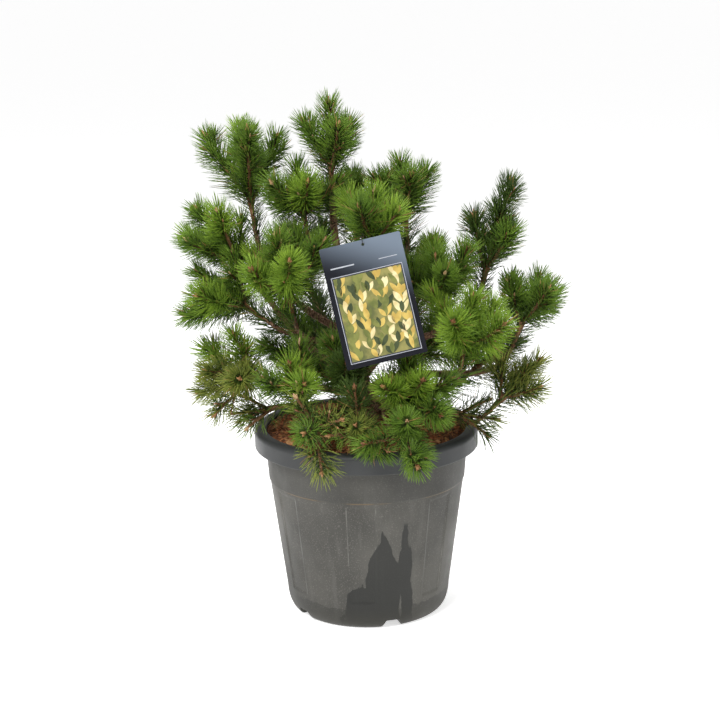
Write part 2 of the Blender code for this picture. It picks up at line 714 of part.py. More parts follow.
class Room:
    """What stands round the masses: limbs, the pot and soil, and the label."""

    def __init__(self, limbs, tie):
        clouds = []
        for limb in limbs.values():
            share = np.linspace(0, 1, len(limb.points))
            places = evenly(limb.points, SAMPLE_STEP)
            radii = np.interp(np.linspace(0, 1, len(places)), share, limb.radii)
            clouds.append(np.column_stack([places, radii]))
        ties = evenly(np.concatenate([tie, tie[:1]]), SAMPLE_STEP)
        clouds.append(np.column_stack([ties, np.full(len(ties), TIE_RADIUS)]))
        self.limbs = np.concatenate(clouds)
        self.tag = np.array(tag_axes())

    def clears(self, places, thickness):
        """Whether places that have this thickness are clear of everything."""
        apart = np.linalg.norm(places[:, None] - self.limbs[None, :, :3], axis=2) - self.limbs[:, 3]
        if apart.min() < BESIDE_LIMB + thickness:
            return False
        reach = np.hypot(places[:, 0], places[:, 1])
        over_pot = reach < LIP_RADIUS + BESIDE_POT + thickness
        low = places[:, 2] < POT_HEIGHT + BESIDE_POT + thickness
        soil = (reach < ABOVE_SOIL_WITHIN) & (places[:, 2] < SOIL_TOP + BESIDE_POT + thickness)
        if ((over_pot & low) | soil).any() or places[:, 2].min() < CROWN_BOTTOM:
            return False
        local = np.abs((places - np.array(TAG_AT)) @ self.tag.T)
        near = BESIDE_TAG + thickness
        inside = (local[:, 0] < TAG_WIDTH / 2 + near) & (local[:, 2] < TAG_HEIGHT / 2 + near)
        return not (inside & (local[:, 1] < near)).any()


def with_bud(points):
    """A shoot's line, carried on to the point of its bud."""
    return np.concatenate([points, [points[-1] + unit(points[-1] - points[-2]) * BUD_LENGTH]])


def curved_shoot(start, way, length, lift):
    """A shoot that sets off one way and bends up as it grows."""
    end_way = unit(way + np.array([0.0, 0.0, lift]))
    t = np.linspace(0.0, 1.0, SHOOT_STEPS + 1)[:, None]
    return start + length * (way * t + (end_way - way) * t**2 / 2)


def mass_shoots(mass, noise, room, taken):
    """The stem with its top shoot, and the side shoots that find room, each shorter if it must be."""
    top = toward(mass.top_heading, mass.top_lean)
    whorl = at(mass.heading, mass.reach, mass.height)
    foot = whorl - top * STEM_LENGTH
    run = curved_shoot(whorl, top, mass.top_length - TIP_REACH, TOP_LIFT)
    points = np.concatenate([[foot, foot + top * STEM_LENGTH * STEM_BARE], run])
    stem_radii = [STEM_RADIUS, STEM_RADIUS, WHORL_RADIUS]
    top_radii = np.linspace(SHOOT_RADIUS, SHOOT_TIP_RADIUS, SHOOT_STEPS)
    shoots = [Shoot(mass.name, points, np.array([*stem_radii, *top_radii]), TOP_SIDES)]
    for number in range(mass.sides):
        turn = mass.first + 360.0 / mass.sides * number + noise.uniform(-1, 1) * SIDE_TURN_SPREAD
        length = mass.top_length * mass.share * (1 + noise.uniform(-1, 1) * SIDE_LENGTH_SPREAD)
        start = whorl - top * WHORL_STAGGER * (number % WHORL_LEVELS)
        across = turned(outer_side(top, mass.heading), top, turn)
        way = turned(top, np.cross(top, across), mass.spread)
        for cut in SHOOT_CUTS:
            run = curved_shoot(start, way, length * cut, SHOOT_LIFT * top[2])
            places = evenly(with_bud(run)[2:], SAMPLE_STEP)
            if room.clears(places, SHOOT_RADIUS) and nearest(places, taken).min() > BESIDE_CORE:
                radii = np.linspace(SHOOT_RADIUS, SHOOT_TIP_RADIUS, SHOOT_STEPS + 1)
                shoots.append(Shoot(mass.name, run, radii, SIDE_SIDES))
                break
    return shoots


def grow_shoots(room):
    """Every mass's shoots, from one seed, each keeping off the ones before it."""
    noise = random.Random(SEED)
    tops = []
    for mass in MASSES:
        top = toward(mass.top_heading, mass.top_lean)
        whorl = at(mass.heading, mass.reach, mass.height)
        line = np.array([whorl - top * STEM_LENGTH, whorl + top * mass.top_length])
        tops.append(evenly(line, SAMPLE_STEP))
    taken = np.zeros((0, 3))
    shoots = []
    for number, mass in enumerate(MASSES):
        others = [line for other, line in enumerate(tops) if other != number]
        mine = mass_shoots(mass, noise, room, np.concatenate([*others, taken]))
        shoots += mine
        lines = [evenly(with_bud(shoot.points), SAMPLE_STEP) for shoot in mine[1:]]
        taken = np.concatenate([taken, *lines])
    return shoots


# Needles
def clouds_of(shoots):
    """Places along each shoot, with the number of its mass and its own number."""
    names = [mass.name for mass in MASSES]
    places = []
    owners = []
    for number, shoot in enumerate(shoots):
        line = evenly(with_bud(shoot.points), SAMPLE_STEP)
        places.append(line)
        owners += [(names.index(shoot.mass), number)] * len(line)
    return np.concatenate(places), np.array(owners)


def needle_tip(base, out, way, share, noise, keeps):
    """The tip of a needle that keeps to its space, as long as it may be, or None."""
    forward = math.radians(NEEDLE_FORWARD + (NEEDLE_FORWARD_AT_TIP - NEEDLE_FORWARD) * share**2)
    length = NEEDLE_LENGTH * (1 + noise.uniform(-1, 1) * NEEDLE_LENGTH_SPREAD)
    slant = out * math.cos(forward) + way * math.sin(forward)
    for cut in NEEDLE_CUTS:
        tip = base + slant * length * cut
        if keeps(evenly(np.array([base, tip]), SAMPLE_STEP)):
            return tip
    return None


def needled_shoot(number, shoot, noise, room, cloud):
    """The corners and faces of a shoot whose sides are drawn out into needles."""
    places, owners = cloud
    sides = shoot.sides
    found = rings(shoot.points, shoot.radii, sides, twist=120.0 / sides)
    corners = [*np.concatenate(found)]
    faces = [tuple(reversed(range(sides)))]
    ways = directions(shoot.points)
    own = owners[:, 1] == number
    mass = owners[own][0, 0]
    close = np.linalg.norm(places - shoot.points.mean(axis=0), axis=1) < NEIGHBOURS_WITHIN
    own_line = places[own]
    mates = places[(owners[:, 0] == mass) & ~own & close]
    others = places[(owners[:, 0] != mass) & close]

    def keeps(line):
        if not room.clears(line, 0.0):
            return False
        mine = nearest(line, own_line)
        beyond = line[2:]
        if (nearest(line, others) < mine + BESIDE_MASS).any():
            return False
        return not (nearest(beyond, mates) < mine[2:] + BESIDE_SHOOT).any()

    steps = len(found) - 1
    for ring, quad in enumerate(np.array_split(np.array(ring_faces(len(found), sides)), steps)):
        share = (ring - FIRST_NEEDLED) / (steps - 1 - FIRST_NEEDLED)
        for face in quad:
            base = np.mean([corners[corner] for corner in face], axis=0)
            middle = (shoot.points[ring] + shoot.points[ring + 1]) / 2
            tip = None
            if ring >= FIRST_NEEDLED:
                tip = needle_tip(base, unit(base - middle), ways[ring], share, noise, keeps)
            if tip is None:
                faces += [(face[0], face[1], face[2]), (face[0], face[2], face[3])]
                continue
            corners.append(tip)
            apex = len(corners) - 1
            faces += [(face[side], face[(side + 1) % 4], apex) for side in range(4)]
    last = steps * sides
    corners.append(with_bud(shoot.points)[-1])
    apex = len(corners) - 1
    faces += [(last + side, last + (side + 1) % sides, apex) for side in range(sides)]
    return corners, faces


def build_masses(shoots, room):
    noise = random.Random(SEED + 1)
    cloud = clouds_of(shoots)
    green = material(*GREEN)
    for mass in MASSES:
        pieces = []
        for number, shoot in enumerate(shoots):
            if shoot.mass == mass.name:
                corners, faces = needled_shoot(number, shoot, noise, room, cloud)
                pieces.append(mesh_object("shoot", corners, faces, green))
        body = pieces[0]
        body.name = "needles_" + mass.name
        body.data.name = body.name
        if len(pieces) > 1:
            boolean(body, pieces[1:], "UNION", "MANIFOLD")
            keep_main_shell(body)


def shade(thing):
    thing.data.shade_smooth()
    thing.data.set_sharp_from_angle(angle=math.radians(SHARP_FROM))


def main():
    for thing in list(bpy.data.objects):
        bpy.data.objects.remove(thing)
    build_pot()
    build_soil()
    limbs = grow_limbs()
    build_limbs(limbs)
    tie = tie_route(limbs)
    build_tag()
    build_tie(tie)
    room = Room(limbs, tie)
    build_masses(grow_shoots(room), room)


main()
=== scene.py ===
"""The looks of a mugo pine in its nursery pot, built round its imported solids.

Limbs and shoots grow here again by the rule and the sizes of the part's source, and go on to
finer twigs, needles and buds within the same reach. Metres, +Z up, the front is -Y. A heading
is in degrees, anticlockwise from +X as seen from above. A lean is in degrees from upright.
"""

import itertools
import json
import math
import random
from collections import namedtuple

import bpy
import numpy as np
from mathutils import Matrix
from mathutils.kdtree import KDTree

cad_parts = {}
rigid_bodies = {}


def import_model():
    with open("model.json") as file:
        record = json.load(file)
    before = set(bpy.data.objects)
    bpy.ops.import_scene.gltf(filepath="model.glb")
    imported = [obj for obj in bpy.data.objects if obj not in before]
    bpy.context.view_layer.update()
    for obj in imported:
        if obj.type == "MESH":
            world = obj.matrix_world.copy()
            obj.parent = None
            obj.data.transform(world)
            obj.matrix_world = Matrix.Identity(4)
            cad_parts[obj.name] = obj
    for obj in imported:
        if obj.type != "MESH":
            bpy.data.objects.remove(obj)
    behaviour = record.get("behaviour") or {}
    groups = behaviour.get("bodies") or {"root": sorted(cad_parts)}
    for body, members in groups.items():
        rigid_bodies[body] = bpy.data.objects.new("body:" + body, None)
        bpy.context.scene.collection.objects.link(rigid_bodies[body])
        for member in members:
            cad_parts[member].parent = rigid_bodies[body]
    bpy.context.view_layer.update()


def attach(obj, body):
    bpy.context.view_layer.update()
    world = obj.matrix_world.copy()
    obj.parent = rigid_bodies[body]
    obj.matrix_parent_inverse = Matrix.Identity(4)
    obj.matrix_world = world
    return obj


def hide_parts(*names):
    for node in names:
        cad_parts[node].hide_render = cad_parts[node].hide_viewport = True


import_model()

GAP = 0.0003
SEED = 5
CUT_PAST = 0.010

# Pot, as in the part's source
POT_HEIGHT = 0.333
POT_FOOT_RADIUS = 0.126
POT_EDGE_TOP = 0.040
POT_EDGE_RADIUS = 0.146
POT_STEP_HEIGHT = 0.241
POT_STEP_RADIUS = 0.1727
COLLAR_RADIUS = 0.1745
COLLAR_TOP_RADIUS = 0.1805
LIP_RADIUS = 0.198
LIP_BOTTOM = 0.299
LIP_ROUND = 0.009
MOUTH_EASE = 0.004
COLLAR_LEDGE = 0.002
POT_WALL = 0.0035
FLUTES = 7
FLUTE_DEPTH = 0.0020
FLUTE_HEADING = -94.0
FLUTE_HALF_WIDTH = 8.5
FLUTE_SLOPE = 2.0
FLUTE_BOTTOM = 0.052
FLUTE_TOP = 0.233
NOTCHES = 5
NOTCH_HEADING = -72.9
NOTCH_FOOT_WIDTH = 0.038
NOTCH_ROOF_WIDTH = 0.026
NOTCH_HEIGHT = 0.016
NOTCH_INNER_RADIUS = 0.103
DRAIN_RADIUS = 0.006
DRAIN_AT_RADIUS = 0.114

# Soil, trunk and boughs, as in the part's source
SOIL_TOP = 0.340
SOIL_AT_WALL = 0.313
SOIL_LEVEL_RADIUS = 0.050
TRUNK_FOOT = (0.011, 0.000)
TRUNK_HEADING = 151.0
TRUNK_LEAN = 14.0
TRUNK_RADIUS = 0.0125
TRUNK_TIP_RADIUS = 0.0052
TRUNK_FLARE = 0.008
TRUNK_FLARE_HEIGHT = 0.030
TRUNK_SIDES = 8
TRUNK_RINGS = 14
TRUNK_UPRIGHT = 0.010
BOUGH_TIP_RADIUS = 0.0038
BOUGH_RADIUS = 0.0046
BOUGH_RADIUS_PER_LENGTH = 0.012
BOUGH_TO_PARENT = 0.72
BOUGH_LEAVES_AT = 58.0
BOUGH_START_PULL = 0.36
BOUGH_END_PULL = 0.34
BOUGH_STRAIGHT = 0.008
BOUGH_SIDES = 5
BOUGH_RINGS = 8

# Shoots, as in the part's source
STEM_LENGTH = 0.042
STEM_BARE = 0.35
STEM_RADIUS = 0.0038
WHORL_RADIUS = 0.0060
SHOOT_RADIUS = 0.0036
SHOOT_TIP_RADIUS = 0.0022
SHOOT_STEPS = 6
SIDE_LENGTH_SPREAD = 0.10
TOP_LIFT = 0.12
SIDE_TURN_SPREAD = 14.0
SHOOT_LIFT = 0.45
SHOOT_CUTS = (1.0, 0.82, 0.66)
WHORL_STAGGER = 0.004
WHORL_LEVELS = 3
NEEDLE_LENGTH = 0.047
NEEDLE_LENGTH_SPREAD = 0.10
NEEDLE_FORWARD = 27.0
NEEDLE_FORWARD_AT_TIP = 56.0
BUD_LENGTH = 0.022
TIP_REACH = 0.020
BESIDE_LIMB = 0.0035
BESIDE_CORE = 0.012
BESIDE_POT = 0.005
BESIDE_TAG = 0.003
ABOVE_SOIL_WITHIN = 0.10
CROWN_BOTTOM = 0.213
SAMPLE_STEP = 0.004

# Label and tie, as in the part's source
TAG_WIDTH = 0.135
TAG_HEIGHT = 0.202
TAG_THICKNESS = 0.0012
TAG_CORNER = 0.003
TAG_HOLE_RADIUS = 0.0025
TAG_HOLE_BELOW_EDGE = 0.0075
TAG_HOLE_ASIDE = 0.0045
TAG_AT = (0.014, -0.190, 0.595)
TAG_TURN = -12.5
TAG_LEAN = -11.5
TIE_IN_FRONT = ((0.0, 0.0), (-0.0034, 0.0007), (-0.0038, 0.0041), (-0.0025, 0.0104))
TIE_OVER_EDGE = (0.0027, 0.0125)
TIE_BEHIND = (0.0049, 0.0)
TIE_RADIUS = 0.0007
TIE_BOUGH = "centre"
TIE_ALONG = 0.86
TIE_SLACK = 0.0006
TIE_LEAD = 0.008
TIE_BENDS = 5
TIE_ROOM_RINGS = 44
CURVE_STEPS = 12

# One row for each mass of needles, as in the part's source
Mass = namedtuple(
    "Mass",
    "name parent along heading reach height top_heading top_lean top_length sides share spread first",
)
MASSES = (
    Mass("leader", "trunk", 1.00, 151, 0.062, 0.785, 180, 1, 0.130, 3, 0.66, 36, 9),
    Mass("upper_left", "trunk", 0.40, 171, 0.198, 0.732, 139, 10, 0.145, 4, 0.92, 34, 17),
    Mass("shoulder_left", "trunk", 0.62, 180, 0.103, 0.716, 122, 16, 0.098, 5, 0.84, 62, 66),
    Mass("outer_left", "trunk", 0.22, -175, 0.218, 0.632, 166, 40, 0.133, 4, 0.80, 42, 41),
    Mass("centre_left", "trunk", 0.34, -148, 0.152, 0.585, -127, 17, 0.128, 5, 0.86, 48, 70),
    Mass("centre", "trunk", 0.46, -80, 0.080, 0.672, 20, 4, 0.103, 4, 0.85, 44, -44),
    Mass("centre_back", "trunk", 0.52, 39, 0.095, 0.692, 118, 10, 0.117, 4, 0.80, 36, -39),
    Mass("right_tall", "trunk", 0.27, 5, 0.215, 0.605, 12, 16, 0.175, 3, 0.55, 28, -65),
    Mass("right_inner", "right_tall", 0.45, -9, 0.132, 0.568, -104, 26, 0.100, 4, 0.95, 42, 71),
    Mass("far_right_upper", "trunk", 0.17, 6, 0.280, 0.507, 27, 25, 0.105, 4, 0.82, 46, 15),
    Mass("right_bright", "far_right_upper", 0.36, -36, 0.206, 0.502, -64, 18, 0.110, 4, 0.88, 52, -76),
    Mass("right_mid", "trunk", 0.09, 10, 0.206, 0.428, -24, 47, 0.100, 3, 0.80, 45, 60),
    Mass("far_right_lower", "right_mid", 0.45, -12, 0.245, 0.392, 10, 48, 0.107, 3, 0.72, 45, -41),
    Mass("front_right", "trunk", 0.13, -62, 0.158, 0.414, -72, 54, 0.095, 4, 0.92, 50, 0),
    Mass("front_low_right", "front_right", 0.42, -71, 0.200, 0.370, -90, 62, 0.100, 4, 0.90, 52, 15),
    Mass("front_low_mid", "trunk", 0.05, -94, 0.170, 0.371, -95, 71, 0.092, 3, 0.85, 50, 180),
    Mass("centre_left_low", "trunk", 0.10, -133, 0.164, 0.420, -110, 36, 0.098, 3, 0.85, 42, 60),
    Mass("front_low_left", "centre_left_low", 0.40, -117, 0.185, 0.375, -103, 84, 0.100, 4, 0.92, 45, 30),
    Mass("behind_tag", "trunk", 0.20, -114, 0.088, 0.426, -140, 17, 0.105, 4, 0.80, 50, 34),
    Mass("right_low", "trunk", 0.05, -17, 0.174, 0.362, 8, 104, 0.080, 3, 0.80, 40, 60),
    Mass("left_mid", "outer_left", 0.50, -169, 0.212, 0.560, 166, 58, 0.118, 5, 0.84, 50, 0),
    Mass("left_low", "trunk", 0.14, -169, 0.205, 0.430, -150, 76, 0.104, 5, 0.88, 50, 36),
    Mass("left_bottom", "left_low", 0.45, -167, 0.176, 0.374, -171, 98, 0.080, 3, 0.80, 40, 180),
    Mass("back_top", "trunk", 0.42, 95, 0.140, 0.660, 95, 22, 0.120, 4, 0.85, 42, 0),
    Mass("back_left", "trunk", 0.28, 124, 0.195, 0.570, 128, 38, 0.122, 5, 0.85, 50, 0),
    Mass("back_right", "trunk", 0.22, 58, 0.195, 0.535, 54, 38, 0.122, 5, 0.85, 50, 0),
    Mass("back_low_left", "trunk", 0.16, 120, 0.195, 0.425, 126, 60, 0.120, 5, 0.90, 50, 0),
    Mass("back_low_right", "trunk", 0.12, 60, 0.195, 0.420, 52, 60, 0.120, 5, 0.90, 50, 36),
)

# Pieces of sprays, each for its own masses
SPRAYS = {
    "sprays_top": ("leader", "upper_left", "shoulder_left", "centre_back", "back_top"),
    "sprays_left": ("outer_left", "left_mid", "left_low", "left_bottom", "centre_left"),
    "sprays_front": (
        "centre",
        "behind_tag",
        "centre_left_low",
        "front_low_left",
        "front_low_mid",
        "front_low_right",
        "front_right",
    ),
    "sprays_right": (
        "right_tall",
        "right_inner",
        "right_bright",
        "right_mid",
        "right_low",
        "far_right_upper",
        "far_right_lower",
    ),
    "sprays_back": ("back_left", "back_right", "back_low_left", "back_low_right"),
}

# Needles: pairs round each twig, in a spiral that grows closer towards the tip
PAIRS_PER_METRE = 1380.0
PAIR_TURN = 9.0
SPIRAL_TURN = 137.508
CROWD_AT_TIP = 0.86
FORWARD_JITTER = 8.0
TURN_JITTER = 16.0
NEEDLE_BEND = 16.0
NEEDLE_WIDTH = 0.00086
NEEDLE_THICKNESS = 0.00052
TIP_SHORTER = 0.28
NEEDLE_RINGS = ((0.0, 0.8), (0.34, 1.0), (0.84, 0.62))
NEEDLE_CUTS = (1.0, 0.82, 0.66, 0.5)
NEEDLE_BESIDE_LIMB = 0.0012
NEEDLE_CLEARANCE = 0.0006

# Finer twigs along each shoot: where they stand, their length, their lean off the shoot
FINE_PLACES = (0.46, 0.64, 0.80)
FINE_LENGTH = 0.030
FINE_SPREAD = 34.0
FINE_LIFT = 0.30
FINE_RADIUS = 0.0019
FINE_NEEDLES = 0.80
FINE_OUT = 0.88

# Buds: a middle one and smaller ones round it, (distance along, radius) for their scales
BUD_PROFILE = ((0.0, 0.62), (0.16, 1.0), (0.36, 0.98), (0.42, 0.84), (0.64, 0.72), (0.68, 0.56), (0.86, 0.34))
BUD_SIDES = 6
BUD_SIZE = (0.0135, 0.0028)
SIDE_BUDS = 4
TOP_BUDS = {"leader": 1.25, "upper_left": 1.25, "centre": 1.15, "shoulder_left": 1.15, "right_tall": 1.15}

# Meshes
LIMB_STEP = 0.003
LIMB_SIDES = 14
LIMB_VOXEL = 0.0017
TWIG_STEP = 0.005
TWIG_SIDES = 7
INTO_BOUGH = 0.006
INTO_SOIL = 0.008

Limb = namedtuple("Limb", "points radii sides")
Shoot = namedtuple("Shoot", "mass points radii")
Twig = namedtuple("Twig", "mass points radii bare needle_length tone fullness young main")


# Vectors and curves
def unit(vector):
    return vector / np.linalg.norm(vector)


def units(vectors):
    return vectors / np.linalg.norm(vectors, axis=-1, keepdims=True)


def at(heading, reach, height):
    turn = math.radians(heading)
    return np.array([reach * math.cos(turn), reach * math.sin(turn), height])


def toward(heading, lean):
    tilt = math.radians(lean)
    flat = at(heading, math.sin(tilt), 0.0)
    return flat + np.array([0.0, 0.0, math.cos(tilt)])


def turned(vector, axis, degrees):
    """The vector turned about a unit axis."""
    turn = math.radians(degrees)
    along = axis * np.dot(axis, vector) * (1 - math.cos(turn))
    return vector * math.cos(turn) + np.cross(axis, vector) * math.sin(turn) + along


def outer_side(axis, heading):
    """A unit vector square to the axis: outward for an upright one, downward for a level one."""
    wanted = at(heading, 0.5, -1.0)
    return unit(wanted - axis * np.dot(wanted, axis))


def bezier(ends, count):
    t = np.linspace(0.0, 1.0, count)[:, None]
    a, b, c, d = ends
    return (1 - t) ** 3 * a + 3 * t * (1 - t) ** 2 * b + 3 * t**2 * (1 - t) * c + t**3 * d


def along_line(points, share):
    """The point and the direction at a share of the way along a line of points."""
    place = share * (len(points) - 1)
    start = min(int(place), len(points) - 2)
    step = points[start + 1] - points[start]
    return points[start] + step * (place - start), unit(step)


def directions(points, closed=False):
    if closed:
        return units(np.roll(points, -1, 0) - np.roll(points, 1, 0))
    return units(np.gradient(points, axis=0))


def smooth_line(points, values, step):
    """A smooth curve through the points, in steps of about this length, with its values."""
    before = 2 * points[0] - points[1]
    after = 2 * points[-1] - points[-2]
    knots = np.concatenate([[before], points, [after]])
    line = []
    carried = []
    for here in range(1, len(knots) - 2):
        a, b, c, d = knots[here - 1 : here + 3]
        count = max(1, round(np.linalg.norm(c - b) / step))
        t = (np.arange(count) / count)[:, None]
        run = 2 * b + (c - a) * t + (2 * a - 5 * b + 4 * c - d) * t**2
        line.append(0.5 * (run + (3 * b - a - 3 * c + d) * t**3))
        carried.append(values[here - 1] + (values[here] - values[here - 1]) * t[:, 0])
    line.append(points[-1:])
    carried.append(values[-1:])
    return np.concatenate(line), np.concatenate(carried)


def frames(points, closed=False):
    """The direction at each point of a line, and two more directions square to it, carried along."""
    ways = directions(points, closed)
    across = outer_side(ways[0], 90.0)
    sides = []
    for way in ways:
        across = unit(across - way * np.dot(across, way))
        sides.append(across)
    sides = np.array(sides)
    return ways, sides, np.cross(ways, sides)


def rings(points, radii, sides, closed=False):
    """Rings of corners square to a line."""
    _, across, other = frames(points, closed)
    angles = np.arange(sides) * 2 * math.pi / sides
    spokes = np.cos(angles)[None, :, None] * across[:, None] + np.sin(angles)[None, :, None] * other[:, None]
    return points[:, None] + radii[:, None, None] * spokes


def ring_faces(count, sides, closed=False):
    """The triangles between rings of corners that follow each other."""
    low = np.arange(count if closed else count - 1)[:, None] * sides
    high = (low + sides) % (count * sides)
    side = np.arange(sides)[None]
    after = (side + 1) % sides
    quads = np.stack([low + side, low + after, high + after, high + side], axis=-1).reshape(-1, 4)
    return np.concatenate([quads[:, [0, 1, 2]], quads[:, [0, 2, 3]]])


def tube(points, radii, sides):
    """The corners and triangles of a closed tube with ends drawn to a middle point."""
    found = rings(points, radii, sides)
    count = len(points)
    corners = np.concatenate([found.reshape(-1, 3), [points[0], points[-1]]])
    side = np.arange(sides)
    after = (side + 1) % sides
    last = (count - 1) * sides
    start = np.stack([after, side, np.full(sides, count * sides)], axis=1)
    end = np.stack([last + side, last + after, np.full(sides, count * sides + 1)], axis=1)
    return corners, np.concatenate([ring_faces(count, sides), start, end])


def joined(parts):
    """Several (corners, triangles) as one."""
    corners = []
    triangles = []
    first = 0
    for more, faces in parts:
        corners.append(more)
        triangles.append(faces + first)
        first += len(more)
    return np.concatenate(corners), np.concatenate(triangles)


def evenly(points, step):
    """Places along a line, a step apart at most."""
    found = [points[:1]]
    for a, b in zip(points[:-1], points[1:]):
        count = max(1, math.ceil(np.linalg.norm(b - a) / step))
        found.append(a + (b - a) * (np.arange(1, count + 1) / count)[:, None])
    return np.concatenate(found)


def nearest(places, cloud):
    """Each place's distance to the nearest point of a cloud."""
    if not len(cloud):
        return np.full(len(places), np.inf)
    return np.linalg.norm(places[:, None] - cloud[None], axis=2).min(axis=1)


def ease(share):
    """From 0 to 1 with a soft start and end."""
    share = np.clip(share, 0.0, 1.0)
    return share * share * (3 - 2 * share)


# Noise for relief
def hashed(cells, seed):
    """A number from 0 to 1 for each whole-numbered cell."""
    whole = cells.astype(np.int64)
    mixed = whole[:, 0] * 73856093 ^ whole[:, 1] * 19349663 ^ whole[:, 2] * 83492791 ^ (seed + 1) * 668265263
    mixed = (mixed ^ (mixed >> 13)) * 1274126177 & 0x7FFFFFFF
    return ((mixed ^ (mixed >> 15)) & 0xFFFFF) / 0xFFFFF


def lumps(places, size, seed=0):
    """Smooth noise from -1 to 1 whose lumps have this size."""
    scaled = places / size
    cell = np.floor(scaled)
    share = ease(scaled - cell)
    total = np.zeros(len(places))
    for corner in itertools.product((0, 1), repeat=3):
        weight = np.prod(np.where(corner, share, 1 - share), axis=1)
        total += weight * hashed(cell + corner, seed)
    return total * 2 - 1


def plates(places, size, seed=0):
    """How far each place is from the edge of its plate, from 0 in the crack between two plates."""
    scaled = places / size
    cell = np.floor(scaled)
    first = np.full(len(places), 9.0)
    second = first.copy()
    for step in itertools.product((-1, 0, 1), repeat=3):
        corner = cell + step
        middle = corner + np.stack([hashed(corner, seed + axis) for axis in range(3)], axis=1)
        gap = np.linalg.norm(scaled - middle, axis=1)
        second = np.minimum(second, np.maximum(first, gap))
        first = np.minimum(first, gap)
    return second - first


# Objects
def triangle_piece(name, corners, triangles, surfaces, tones=None):
    """An object from arrays, with a number of a surface for each triangle."""
    mesh = bpy.data.meshes.new(name)
    mesh.vertices.add(len(corners))
    mesh.vertices.foreach_set("co", np.asarray(corners, np.float32).ravel())
    mesh.loops.add(triangles.size)
    mesh.loops.foreach_set("vertex_index", triangles.astype(np.int32).ravel())
    mesh.polygons.add(len(triangles))
    mesh.polygons.foreach_set("loop_start", np.arange(0, triangles.size, 3, dtype=np.int32))
    for surface in surfaces:
        mesh.materials.append(surface)
    if tones is not None:
        mesh.polygons.foreach_set("material_index", np.asarray(tones, np.int32))
    mesh.update(calc_edges=True)
    mesh.shade_smooth()
    made = bpy.data.objects.new(name, mesh)
    bpy.context.scene.collection.objects.link(made)
    return made


def polygon_piece(name, corners, faces, surface):
    mesh = bpy.data.meshes.new(name)
    mesh.from_pydata([tuple(map(float, corner)) for corner in corners], [], faces)
    mesh.update()
    mesh.materials.append(surface)
    made = bpy.data.objects.new(name, mesh)
    bpy.context.scene.collection.objects.link(made)
    return made


def soften(thing, degrees=35.0):
    thing.data.shade_smooth()
    thing.data.set_sharp_from_angle(angle=math.radians(degrees))


def apply_modifiers(thing):
    graph = bpy.context.evaluated_depsgraph_get()
    solid = bpy.data.meshes.new_from_object(thing.evaluated_get(graph))
    thing.modifiers.clear()
    old = thing.data
    solid.name = old.name
    thing.data = solid
    bpy.data.meshes.remove(old)


def cut_away(target, cutters):
    for cutter in cutters:
        step = target.modifiers.new("cut", "BOOLEAN")
        step.operation = "DIFFERENCE"
        step.solver = "EXACT"
        step.object = cutter
    apply_modifiers(target)
    for cutter in cutters:
        mesh = cutter.data
        bpy.data.objects.remove(cutter)
        bpy.data.meshes.remove(mesh)


def on_frame(piece, slot, *nodes):
    """The piece stands for these solids and hides them; the slot is not used."""
    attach(piece, "root")
    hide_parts(*nodes)
    return piece


# Surfaces: a mix node has its colours' sockets at these places
MIX_FIRST, MIX_SECOND, MIX_RESULT = 6, 7, 2
# The card runs from dark slate below to blue-grey above; its lightening towards the right is a painted sheen
CARD_DARK_UNDER = 0.022
CARD_LIGHT_OVER = 0.125
CARD_SHEEN_ASIDE = 0.55
STAIN_BEYOND = 0.006
STAIN_TIP_HALF = 0.0015
FOOT_STAIN_HEIGHT = 0.040
FLUTE_EDGE_SHARE = FLUTE_HALF_WIDTH / 360.0 * FLUTES
FLUTE_HIGHLIGHT_SHARE = 0.010


